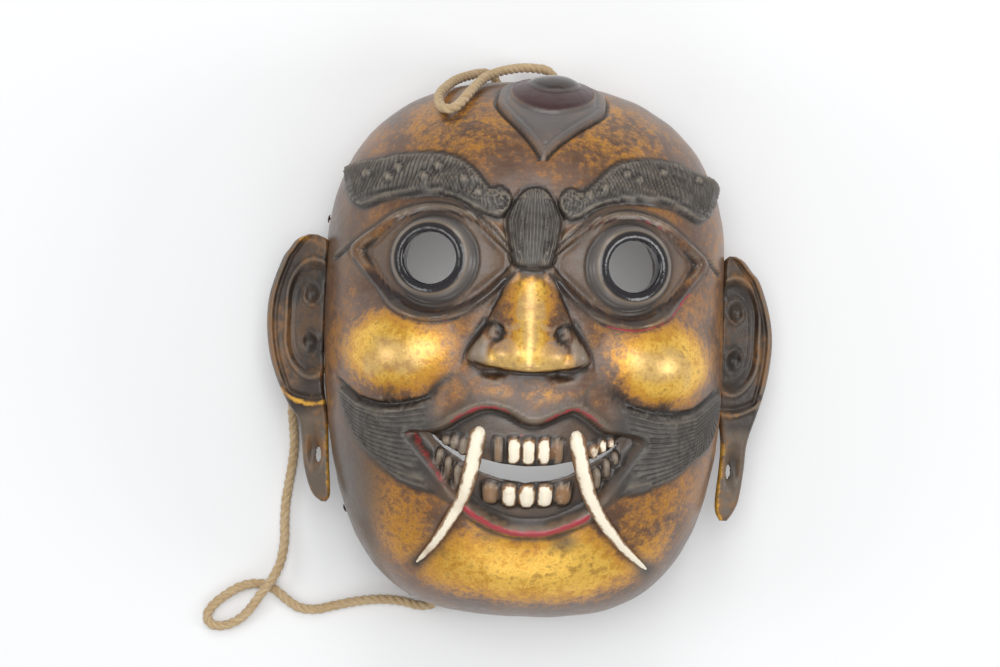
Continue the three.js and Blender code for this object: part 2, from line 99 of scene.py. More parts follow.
def insideOf(x, y, line):
    odd = np.zeros(x.shape, bool)
    for a, b in zip(line[:-1], line[1:]):
        if a[1] != b[1]:
            crosses = (a[1] > y) != (b[1] > y)
            odd ^= crosses & (x < a[0] + (y - a[1]) * (b[0] - a[0]) / (b[1] - a[1]))
    return odd


def signedDistance(x, y, line):   # negative inside a closed outline
    far = measureLine(x, y, line)[0]
    return np.where(insideOf(x, y, line), -far, far)


def makeObject(name, bm, attributes=None):
    bmesh.ops.recalc_face_normals(bm, faces=bm.faces[:])
    for face in bm.faces:
        face.smooth = True
    mesh = bpy.data.meshes.new(name)
    bm.to_mesh(mesh)
    bm.free()
    for key, values in (attributes or {}).items():
        kind = "FLOAT" if values.ndim == 1 else "FLOAT_VECTOR"
        layer = mesh.attributes.new(key, kind, "POINT")
        layer.data.foreach_set("value" if values.ndim == 1 else "vector", values.astype(np.float32).ravel())
    obj = bpy.data.objects.new(name, mesh)
    scene.collection.objects.link(obj)
    print(name, len(mesh.vertices), "vertices", sum(len(p.vertices) - 2 for p in mesh.polygons), "triangles")
    return obj


def colour(text):   # hex sRGB to the linear values the nodes use
    parts = [int(text[i:i + 2], 16) / 255 for i in (1, 3, 5)]
    return tuple(v / 12.92 if v <= 0.04045 else ((v + 0.055) / 1.055) ** 2.4 for v in parts) + (1.0,)


def addNode(tree, kind, settings=None, inputs=None):
    node = tree.nodes.new(kind)
    for key, value in (settings or {}).items():
        setattr(node, key, value)
    for key, value in (inputs or {}).items():
        if isinstance(value, bpy.types.NodeSocket):
            tree.links.new(value, node.inputs[key])
        else:
            node.inputs[key].default_value = value
    return node


def newMaterial(name):
    material = bpy.data.materials.new(name)
    material.use_nodes = True
    tree = material.node_tree
    return material, tree, tree.nodes["Principled BSDF"]


# Camera, in the part's own millimetres: it looks down on the face with a slight turn and roll
cameraSet = {"place": (-56.2, 5.64, 1654.05), "yaw": 1.5, "roll": 2.5, "lens": 94.43, "sensor": 36.0}
yaw = math.radians(cameraSet["yaw"])
roll = math.radians(cameraSet["roll"])
forward = Vector((math.sin(yaw), 0, -math.cos(yaw)))
level = Vector((math.cos(yaw), 0, math.sin(yaw)))
rightward = level * math.cos(roll) + Vector((0, 1, 0)) * math.sin(roll)
upward = Vector((0, 1, 0)) * math.cos(roll) - level * math.sin(roll)
turn = Matrix((rightward, upward, -forward)).transposed()
camera = bpy.data.objects.new("camera", bpy.data.cameras.new("camera"))
camera.data.lens = cameraSet["lens"]
camera.data.sensor_width = cameraSet["sensor"]
camera.data.clip_end = 20
camera.matrix_world = Matrix.Translation(Vector(cameraSet["place"]) * mm) @ turn.to_4x4()
scene.collection.objects.link(camera)
scene.camera = camera


# Jute rope: three strands laid around each other, coarser twist than real jute so that it shows
ropeSet = {"diameter": 6.0, "strand": 1.72, "offset": 1.38, "pitch": 15.0, "sides": 9, "step": 1.5}
sideRoute = [
    (-103, -18, 14), (-113, -19, 14), (-122, -21, 14), (-131, -25, 12.5), (-138, -34, 8.5), (-141, -46, 4.8),
    (-140, -58.5, 3.3), (-139, -70, 3.2), (-140, -84, 3.2), (-142.5, -103, 3.2), (-143, -116, 3.4),
    (-142.5, -130, 4.8), (-144, -142.5, 7.4), (-147.5, -151.5, 9.5), (-151.5, -158, 9.9), (-156.5, -165, 9.2),
    (-162.5, -174, 6.8), (-169.5, -181, 4.6), (-178, -185, 3.4), (-186, -184.5, 3.2), (-189, -179, 3.2),
    (-185, -172, 3.2), (-177.5, -165.5, 3.2), (-169.5, -160.5, 3.2), (-161, -158, 3.2), (-153, -158.5, 3.2),
    (-146, -162, 3.2), (-139, -167.5, 3.2), (-131, -172, 3.2), (-121, -172.5, 3.2), (-109, -169.5, 3.3),
    (-94, -166, 4), (-79, -164.3, 5.2), (-66, -165, 6.6), (-56, -167, 7.8),
    (-47.5, -165, 9), (-42, -157, 9.8), (-39, -146.5, 10.2), (-37, -136.5, 10.4),
]
crownRoute = [
    (15, 134, 11.5), (15, 145, 11.5), (15, 156, 11.5), (14.5, 165, 13), (9, 170.5, 18.5), (2, 171, 25.5),
    (-6, 170.3, 33), (-14, 168.3, 41.5), (-22, 165.3, 51), (-30.2, 160.4, 63), (-35.5, 154.3, 78),
    (-39.5, 148.8, 89.5), (-43.5, 143.1, 97.5), (-48, 138.2, 103), (-53, 137, 103.5), (-57, 140, 97.5),
    (-57.5, 146.8, 84), (-53.5, 153.3, 68.5), (-47.5, 159.3, 51), (-41.2, 163, 39), (-34, 166, 28),
    (-28, 167, 19.5), (-23, 164, 13.2), (-20.5, 156, 11.5), (-19.5, 145, 11.5), (-18.5, 134, 11.5),
]
knotSet = {"radius": 4.6, "reach": 3.4, "length": 9.0, "strand": 2.3, "steps": 90, "sides": 10}


def evenSteps(line, step):
    gaps = np.hypot.reduce(np.diff(line, axis=0), axis=1)
    reach = np.concatenate([[0], np.cumsum(gaps)])
    wanted = np.linspace(0, reach[-1], max(2, int(reach[-1] / step)))
    return np.stack([np.interp(wanted, reach, line[:, i]) for i in range(3)], 1), wanted


def sideways(line):   # two directions square to a line, carried along it without twisting
    tangent = np.gradient(line, axis=0)
    tangent /= np.linalg.norm(tangent, axis=1)[:, None]
    first = np.cross(tangent[0], (0.3, 0.5, 1.0))
    across = []
    for t in tangent:
        first = first - t * np.dot(first, t)
        first = first / np.linalg.norm(first)
        across.append(first)
    across = np.array(across)
    return across, np.cross(tangent, across)


def addTube(bm, line, radius, sides, fibre, shift=0.0):   # grid bent round a line, welded and closed
    count = len(line)
    made = bmesh.ops.create_grid(bm, x_segments=sides, y_segments=count - 1, size=1.0)["verts"]
    across, over = sideways(line)
    radius = np.broadcast_to(radius, (count,))
    gaps = np.concatenate([[0], np.cumsum(np.linalg.norm(np.diff(line, axis=0), axis=1))])
    for vert in made:
        angle = (vert.co.x + 1) * math.pi
        i = min(count - 1, max(0, round((vert.co.y + 1) / 2 * (count - 1))))
        spread = across[i] * math.cos(angle) + over[i] * math.sin(angle)
        vert.co = Vector((line[i] + spread * radius[i]) * mm)
        vert[fibre] = Vector((math.cos(angle), math.sin(angle), gaps[i] + shift))
    bmesh.ops.remove_doubles(bm, verts=made, dist=1e-6)
    made = [v for v in made if v.is_valid]
    ends = [e for e in {e for v in made for e in v.link_edges} if e.is_boundary]
    bmesh.ops.holes_fill(bm, edges=ends, sides=sides + 2)
    return made


def ropeObject(name, route):
    line, reach = evenSteps(curveThrough(route), ropeSet["step"])
    across, over = sideways(line)
    bm = bmesh.new()
    fibre = bm.verts.layers.float_vector.new("fibre")
    for strand in range(3):
        angle = reach / ropeSet["pitch"] * math.tau + strand * math.tau / 3
        offset = across * np.cos(angle)[:, None] + over * np.sin(angle)[:, None]
        strandLine = line + offset * ropeSet["offset"]
        addTube(bm, strandLine, ropeSet["strand"], ropeSet["sides"], fibre, 400.0 * strand)
    return makeObject(name, bm), reach[-1]


def knotObject(name, end, before, shift):   # overhand knot just beyond the rope's end
    end = np.array(end, float)
    axis = end - np.array(before, float)
    axis /= np.linalg.norm(axis)
    across = np.cross(axis, (0, 0, 1.0))
    across /= np.linalg.norm(across)
    over = np.cross(axis, across)
    middle = end + axis * (knotSet["length"] / 2 + 1.2)
    a = np.linspace(0, math.tau, knotSet["steps"], endpoint=False)
    wide = knotSet["radius"] * (np.cos(a) + 0.42 * np.cos(2 * a))
    tall = knotSet["radius"] * (np.sin(a) - 0.42 * np.sin(2 * a))
    deep = knotSet["reach"] * np.sin(3 * a)
    line = middle + wide[:, None] * across + tall[:, None] * over + deep[:, None] * axis
    line = np.vstack([line, line[:1]])
    bm = bmesh.new()
    fibre = bm.verts.layers.float_vector.new("fibre")
    addTube(bm, line, knotSet["strand"], knotSet["sides"], fibre, shift)
    stub = np.array([end - axis * 2 + axis * q for q in np.linspace(0, knotSet["length"] + 3, 12)])
    addTube(bm, stub, knotSet["strand"], knotSet["sides"], fibre, shift + 100)
    return makeObject(name, bm)


sideRope, sideLength = ropeObject("sideRope", sideRoute)
crownRope, crownLength = ropeObject("crownRope", crownRoute)
earKnot = knotObject("earKnot", sideRoute[0], sideRoute[1], 1400)
jawKnot = knotObject("jawKnot", sideRoute[-1], sideRoute[-2], 1600)
crownKnotRight = knotObject("crownKnotRight", crownRoute[0], crownRoute[1], 1800)
crownKnotLeft = knotObject("crownKnotLeft", crownRoute[-1], crownRoute[-2], 2000)
ropePieces = [(sideRope, "side_cord"), (crownRope, "crown_cord"), (earKnot, "side_cord_knot_ear"),
              (jawKnot, "side_cord_knot_jaw"), (crownKnotRight, "crown_cord_knot_right"),
              (crownKnotLeft, "crown_cord_knot_left")]

# Dry twisted jute: pale tan, matt, with darker fibres that run along each strand
juteMaterial, tree, shader = newMaterial("twisted jute")
fibreAt = addNode(tree, "ShaderNodeAttribute", {"attribute_name": "fibre"}).outputs["Vector"]
stretch = addNode(tree, "ShaderNodeMapping", None, {"Vector": fibreAt, "Scale": (2.2, 2.2, 0.16)})
threads = addNode(tree, "ShaderNodeTexNoise", None,
                  {"Vector": stretch.outputs[0], "Scale": 2.4, "Detail": 4.0})
slow = addNode(tree, "ShaderNodeMapping", None, {"Vector": fibreAt, "Scale": (0.3, 0.3, 0.03)})
patches = addNode(tree, "ShaderNodeTexNoise", None, {"Vector": slow.outputs[0], "Scale": 2.0})
tan = addNode(tree, "ShaderNodeMix", {"data_type": "RGBA"},
              {0: threads.outputs[0], 6: colour("#856840"), 7: colour("#f2dfbb")})
worn = addNode(tree, "ShaderNodeMix", {"data_type": "RGBA", "blend_type": "MULTIPLY"},
               {0: patches.outputs[0], 6: tan.outputs[2], 7: colour("#d8c6a8")})
ridges = addNode(tree, "ShaderNodeBump", None,
                 {"Height": threads.outputs[0], "Strength": 0.5, "Distance": 0.0005})
tree.links.new(worn.outputs[2], shader.inputs["Base Color"])
tree.links.new(ridges.outputs[0], shader.inputs["Normal"])
shader.inputs["Roughness"].default_value = 0.9
shader.inputs["Sheen Weight"].default_value = 0.25
for piece, node in ropePieces:
    piece.data.materials.append(juteMaterial)
    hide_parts(node)
    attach(piece, "root")

print("rope lengths", round(sideLength), round(crownLength))


# The head: an outline that is round at the crown and squarer at the jaw, under a domed front
headSet = {
    "halfWidth": 123.0, "crownReach": 119.0, "chinReach": 209.0, "centreY": 42.0, "crownPower": 2.45,
    "jawPower": 3.1, "jawShift": 3.5, "widestZ": 30.0, "dome": 122.0, "crownRound": 2.1, "jawRound": 2.6,
    "wall": 15.0, "wallLean": 14.4, "wallHeight": 44.0, "hollowLean": 6.2, "hollowMiddle": -3.0,
    "columns": 152, "rows": 178, "innerColumns": 66, "innerRows": 78,
    # heights of the rows of wall, with how far the rim's edge is rounded off
    "wallRows": [(26, 0), (21, 0), (16, 0), (11, 0), (6.5, 0), (2.6, 0), (0.7, 0.35), (0, 1.3)],
    "hollowRows": [(22, 0), (13, 0), (5, 0), (1.2, -0.3), (0, -1.3)],
}
eyeSet = {
    "x": 56.0, "y": 47.0, "hole": 14.4, "tilt": 0.17, "holeRows": (1.2, 2.2, 4.0), "boreDepth": 12.0,
    "ballDip": -2.8, "ball": 6.8, "ballReach": 40.0, "lid": 2.6, "lidAt": 3.2, "lidHalf": 5.5,
    "collar": 5.0, "collarAt": 18.4, "collarHalf": 5.6, "collarCutAt": 24.9, "collarCut": 1.5, "foldCut": 1.5,
    "lacquerReach": 20.2, "greyAt": 22.6, "redAt": 6.9,
}
mouthSet = {
    "x": 0.5, "y": -74.7, "half": 58.0, "windowX": 35, "windowY": 19, "slotRows": 2, "rowHeight": 2.9,
    "smileOut": [0, 15, 25, 37, 48, 58, 70], "smileY": [-74.7, -73.3, -70.9, -67, -61.8, -54.6, -53],
    "gapeOut": [0, 15, 25, 33, 40, 58], "gape": [4.9, 4.7, 4.2, 2.6, 1.6, 0.7], "wallRows": (1.0, 3.0, 5.0),
    "gumDeep": 6.2, "upperLip": 1.7, "lowerLip": 3.8, "lowerHalf": 4.6, "chinDip": 0.9,
    "tooth": 4.2, "toothSquare": 3.2, "fangBed": 1.4,
}


def outlineReach(c, s):
    reach = np.where(s >= 0, headSet["crownReach"], headSet["chinReach"])
    power = np.where(s >= 0, headSet["crownPower"], headSet["jawPower"])
    return (np.abs(c / headSet["halfWidth"]) ** power + np.abs(s / reach) ** power) ** (-1 / power)


def squareToPlan(a, b):   # the unit square of the grid to millimetres seen from the front
    u = a * np.sqrt(1 - b * b / 2)
    v = b * np.sqrt(1 - a * a / 2)
    radius = np.minimum(np.hypot(u, v), 1)
    safe = np.maximum(radius, 1e-9)
    c, s = np.where(radius > 1e-9, u / safe, 1.0), np.where(radius > 1e-9, v / safe, 0.0)
    reach = np.sin(radius * math.pi / 2) * outlineReach(c, s)
    return reach * c, reach * s + headSet["centreY"]


def domePoint(x, y):   # place and outward direction on the plain dome, and how far out towards the edge
    dy = y - headSet["centreY"]
    far = np.hypot(x, dy)
    safe = np.maximum(far, 1e-9)
    edgeward = np.minimum(far / outlineReach(np.where(far > 1e-9, x / safe, 1.0), dy / safe), 1)
    k = headSet["crownRound"] + (headSet["jawRound"] - headSet["crownRound"]) * smoothStep(-dy, 0, 80)
    rise = headSet["dome"] * np.maximum(0, 1 - edgeward ** k) ** (1 / k)
    length = np.where(dy >= 0, headSet["crownReach"], headSet["chinReach"])
    normal = np.stack([x / headSet["halfWidth"] ** 2, dy / length ** 2, rise / headSet["dome"] ** 2], 1)
    normal /= np.linalg.norm(normal, axis=1)[:, None]
    jaw = headSet["jawShift"] * smoothStep(-dy, 0, 150) * edgeward ** 2
    return np.stack([x + jaw, y, headSet["widestZ"] + rise], 1), normal, edgeward


# Carved outlines seen from the front
carving = {
    "browLeft": [
        (-111, 100), (-101, 104), (-88.6, 105.2), (-76, 107.4), (-57.4, 108), (-44.5, 105.2),
        (-33.8, 97.7), (-26, 88.5), (-19.5, 89), (-14, 85), (-13.6, 78.5), (-19, 72.5), (-26, 73),
        (-33, 75.9), (-43.6, 81.4), (-56.4, 84.6), (-72, 83.8), (-87, 80.8), (-99.8, 76.8), (-108, 84)],
    "browRight": [
        (114, 102), (104, 104.6), (98.9, 105.2), (83.8, 109.4), (67.7, 110), (52.9, 107.6), (43.3, 102.7),
        (34, 93.7), (27, 88.5), (20, 89.5), (14.6, 85.5), (14, 79), (19.6, 73), (27, 74), (36, 80.3),
        (47.7, 83.9), (62, 85.5), (76.4, 84.8), (89.3, 80), (99.5, 76.2), (109, 86)],
    "browEdgeLeft": [
        (-22, 72), (-33, 75.9), (-43.6, 81.4), (-56.4, 84.6), (-72, 83.8), (-87, 80.8), (-99.8, 76.8)],
    "browEdgeRight": [
        (22.8, 71.4), (36, 80.3), (47.7, 83.9), (62, 85.5), (76.4, 84.8), (89.3, 80), (99.5, 76.2)],
    "curls": [
        (-95.2, 94.8), (-82.5, 92.7), (-76.9, 98.2), (-62.6, 93.4), (-54.7, 99.5), (-40, 91.5),
        (-31.7, 85.3), (30.6, 85.8), (39.3, 91), (51.7, 99), (58.9, 95.9), (73.1, 101.4), (95.4, 99.5)],
    "scrolls": [(-19.2, 81), (19.8, 81.6)],
    "tuft": [
        (0.5, 90), (5, 89), (8.6, 86), (13, 78), (15.5, 70), (14, 60), (11.5, 48.5), (8, 44.5), (0, 43),
        (-8, 44.5), (-11.5, 48.5), (-14, 60), (-15.5, 70), (-13, 78), (-8, 86), (-4, 89)],
    "almond": [
        (11.5, 47.6), (22, 60), (37, 70.5), (57, 74.8), (76, 70), (90, 60), (100, 51), (90, 38),
        (76, 24.5), (57.5, 17.6), (38, 22.5), (22, 34.5)],
    "lidFold": [(116, 46.5), (104, 57), (92.6, 65.5), (78, 75), (57, 79.8), (38, 76), (24, 66), (12, 53)],
    "lowFold": [(10, 41), (21, 28), (38, 15.5), (57.5, 10.6), (77, 17), (91, 30), (103, 45)],
    "moustacheLeft": [
        (-42, -20), (-57.6, -34), (-73, -38.8), (-86.5, -40.3), (-98, -37.6), (-109, -30), (-108, -40),
        (-99.5, -58), (-90, -67.7), (-80, -76.4), (-66.5, -83.6), (-53, -86.3), (-40, -87), (-53.7, -70),
        (-68, -53.6), (-51.7, -50.9), (-36, -41.5), (-34, -30)],
    "moustacheRight": [
        (42, -20.3), (50.7, -29.8), (62, -34.6), (83, -37), (98.5, -34.5), (114.5, -24), (115.5, -36),
        (109, -55.7), (97.5, -65.5), (85.8, -74.9), (69.4, -81.4), (51, -84.7), (42, -86.5), (56, -70),
        (68, -52.8), (47.2, -47.2), (36.5, -40), (34, -30)],
    "mouth": [
        (-68.3, -53.6), (-51.7, -50.9), (-37, -42), (-23.6, -36.2), (-10.4, -38), (0.2, -43.3),
        (8.8, -42.9), (20.6, -37.8), (28.6, -35.7), (37.5, -40.6), (47.2, -47.2), (67, -52.4), (56, -70),
        (45, -87), (36.8, -96), (16.9, -105.3), (3.7, -107), (-9.8, -105.9), (-23.4, -99.9),
        (-40.8, -86.5), (-53.7, -70)],
    "upperLip": [
        (-68.3, -53.6), (-51.7, -50.9), (-37, -42), (-23.6, -36.2), (-10.4, -38), (0.2, -43.3),
        (8.8, -42.9), (20.6, -37.8), (28.6, -35.7), (37.5, -40.6), (47.2, -47.2), (67, -52.4)],
    "lowerLip": [
        (-67, -54), (-53.7, -70), (-40.8, -86.5), (-23.4, -99.9), (-9.8, -105.9), (3.7, -107),
        (16.9, -105.3), (36.8, -96), (45, -87), (56, -70), (66.5, -53)],
    "noseCurl": [(30, 5), (26.5, 9.5), (21.5, 11.5), (17, 10.5), (14.6, 7), (15.6, 3.4), (19, 3)],
    "noseSide": [(8.5, 50), (12.5, 43), (19, 27), (25.5, 13), (31, 5), (36, -3), (38.5, -11)],
}
# x, y of the middle, half width, half height, and how much paint is left
teeth = [(-15.1, -60.5, 2.7, 7.4, 0.25), (-6.5, -60.6, 3.5, 8.0, 1.0), (2.0, -60.8, 3.6, 8.0, 1.0),
         (10.9, -60.2, 3.6, 8.0, 1.0), (18.3, -59.9, 2.8, 7.6, 0.3),
         (-19.2, -86.6, 4.8, 7.0, 0.3), (-8.2, -87.2, 4.3, 7.8, 0.8), (1.8, -87.2, 4.6, 8.0, 1.0),
         (12.0, -86.6, 4.4, 7.6, 1.0), (22.6, -85.6, 4.8, 7.0, 0.35),
         (-35.8, -60.2, 2.7, 5.6, 0.0), (-41, -58.6, 2.6, 4.6, 0.0), (-46.2, -57.4, 2.4, 3.2, 0.0),
         (39.6, -60.0, 2.6, 4.6, 0.5), (45, -57.4, 2.3, 3.8, 0.9), (50.4, -55.6, 2.2, 3.0, 0.6),
         (-38.6, -78.0, 2.8, 7.4, 0.0), (-44.4, -73.4, 2.7, 7.0, 0.0), (-49.8, -67.4, 2.4, 5.0, 0.0),
         (42.2, -76.5, 2.8, 7.0, 0.1), (47.8, -70.5, 2.6, 6.0, 0.0), (53, -64.6, 2.3, 4.4, 0.0)]
fangs = [   # x, y and height over the face, from the root to the tip
    [(-26.4, -50, -3.6), (-28, -56, -1.5), (-30.3, -71, 0.5), (-34, -87, 1.2), (-41, -101, 1.0),
     (-51.5, -118.5, 0.6), (-62, -131.5, 0.2)],
    [(29.4, -50, -3.6), (31, -58, -1.5), (34, -72.5, 0.5), (39, -88.5, 1.2), (48.5, -104, 1.0),
     (61, -118.5, 0.6), (75, -131, 0.2)],
]
thirdEye = {
    "tipX": 4.2, "tipAngle": 33.3, "lean": 0.09, "arc": 121.0, "width": 32.0, "length": 96.0, "taper": 52.0,
    "irisUp": 64.5, "irisAcross": 25.0, "irisReach": 27.0, "pupilUp": 71.0, "pupil": 14.2,
    "leafRise": 2.6, "outlineCut": 1.4, "lineAt": 5.5, "lineCut": 0.8, "irisDome": 4.0, "irisRim": 0.9,
    "pupilDome": 3.4, "pupilRim": 0.8,
}
noseSet = {
    "levels": [-15, -10, -4, 2, 8, 14, 27, 44, 51], "halves": [36, 36.5, 34.5, 31, 27, 24, 18, 11.5, 7.5],
    "wedge": 16.5, "ridge": 4.5, "ridgeHalf": 7.0, "wing": 12.0, "wingAt": (24, -5), "wingSize": 13.0,
    "tip": 20.5, "tipAt": (0, -4), "tipSize": (25.0, 16.0), "curlCut": 2.8, "curlEye": (15.8, 7.5),
    "curlDeep": 3.4, "nostril": (20, -16.5), "nostrilDeep": 3.0, "sideCut": 0.7,
}
browSet = {
    "rise": 3.6, "swell": 0.9, "hairPitch": 2.3, "hairSlant": 0.55, "hairBend": 0.012, "hairCut": 0.6,
    "lockPitch": 9.5, "lockCut": 0.4, "border": 3.6, "borderCut": 0.9, "boss": 1.5, "bossHalf": 2.4,
    "bossRing": 3.1, "bossCut": 1.1, "scrollPitch": 3.4, "scrollHalf": 7.2, "scrollCut": 0.7, "scrollEye": 1.4,
}
tuftSet = {"levels": [43, 48, 60, 70, 80, 90], "halves": [7, 11, 14, 15.5, 12, 4], "rise": 3.4, "swell": 1.6,
           "strands": 7.5, "strandCut": 0.55}
moustacheSet = {"out": [34, 42, 57, 73, 86, 98, 114], "top": [-16, -21, -34, -38.5, -39.5, -37, -25],
                "foot": -88.0, "footBend": 0.0062, "rise": 2.6, "swell": 1.0, "strands": 15, "strandCut": 0.5,
                "crease": 2.6}

# Sockets, cheeks, muzzle and chin: on both sides or one, middle, half width, half height, rise
swells = [
    ("both", (56, 47), 56, 38, -6),
    ("both", (79, -5), 42, 36, 11),
    ("one", (0, -66), 80, 58, 8),
    ("one", (2, -138), 62, 34, 6),
]
# Patches of paint: the mark, then as above, with how strong it is
patches = [
    ("gilt", "both", (77, -7), 38, 30, 2.2),   # cheeks: gold leaf, pushed to the brightest gold in the middle as a painted highlight
    ("gilt", "both", (96, 8), 36, 44, 0.12),
    ("gilt", "both", (44, 6), 34, 24, 0.15),
    ("gilt", "one", (74, -16), 36, 24, 0.5),
    ("gilt", "one", (8, -134), 110, 50, 1.35),   # chin and jaw
    ("gilt", "both", (84, -106), 42, 50, 0.4),
    ("gilt", "one", (52, -128), 52, 32, 0.5),
    ("gilt", "one", (-40, -130), 46, 30, 0.25),
    ("gilt", "one", (46, 126), 54, 36, 0.55),   # forehead
    ("gilt", "one", (-46, 126), 54, 32, 0.45),
    ("gilt", "one", (10, -28), 18, 9, 0.55),   # above the lip
    ("gilt", "one", (-16, -29), 14, 8, 0.45),
    ("sootAndShade", "both", (19.5, -16.5), 11, 5, 0.6),   # painted shadow under the nose at the nostrils, and one wing of the nose darker
    ("sootAndShade", "one", (-26, -5), 12, 12, 0.6),
    ("sootAndShade", "both", (52, 50), 62, 56, 0.85),   # round the eyes
    ("sootAndShade", "one", (-118, 60), 34, 60, 0.75),   # the left temple and the left jaw, darker on this side only
    ("sootAndShade", "one", (-106, -92), 38, 66, 1.1),
    ("sootAndShade", "one", (24, -114), 17, 9, 0.8),   # painted shade under the lower lip
    ("sootAndShade", "one", (-20, -112), 13, 7, 0.55),
    ("red", "one", (-2.4, -52), 3, 2, 0.7),   # flecks on the gum
    ("red", "one", (6.4, -52), 3, 2, 0.5),
]


def thirdEyeMarks(x, y, edgeward):   # how far inside the leaf, and distances from its iris and pupil
    up = thirdEye["arc"] * (np.arcsin(np.clip(edgeward, 0, 1)) - math.radians(thirdEye["tipAngle"]))
    across = x - thirdEye["tipX"] - thirdEye["lean"] * up
    shoulder = thirdEye["length"] - thirdEye["width"]
    rounded = roundTop(np.maximum(0, (up - shoulder) / thirdEye["width"]))
    spread = np.clip(up / thirdEye["taper"], 0, 1)
    half = thirdEye["width"] * (0.55 * spread ** 0.8 + 0.45 * smoothStep(spread, 0, 1)) * rounded
    upper = y > headSet["centreY"]
    within = np.where(upper & (up > 0) & (up < thirdEye["length"]), half - np.abs(across), -99.0)
    iris = np.hypot(across / thirdEye["irisAcross"], (up - thirdEye["irisUp"]) / thirdEye["irisReach"])
    pupil = np.hypot(across, up - thirdEye["pupilUp"])
    return within, np.where(upper, iris, 9), np.where(upper, pupil, 99)


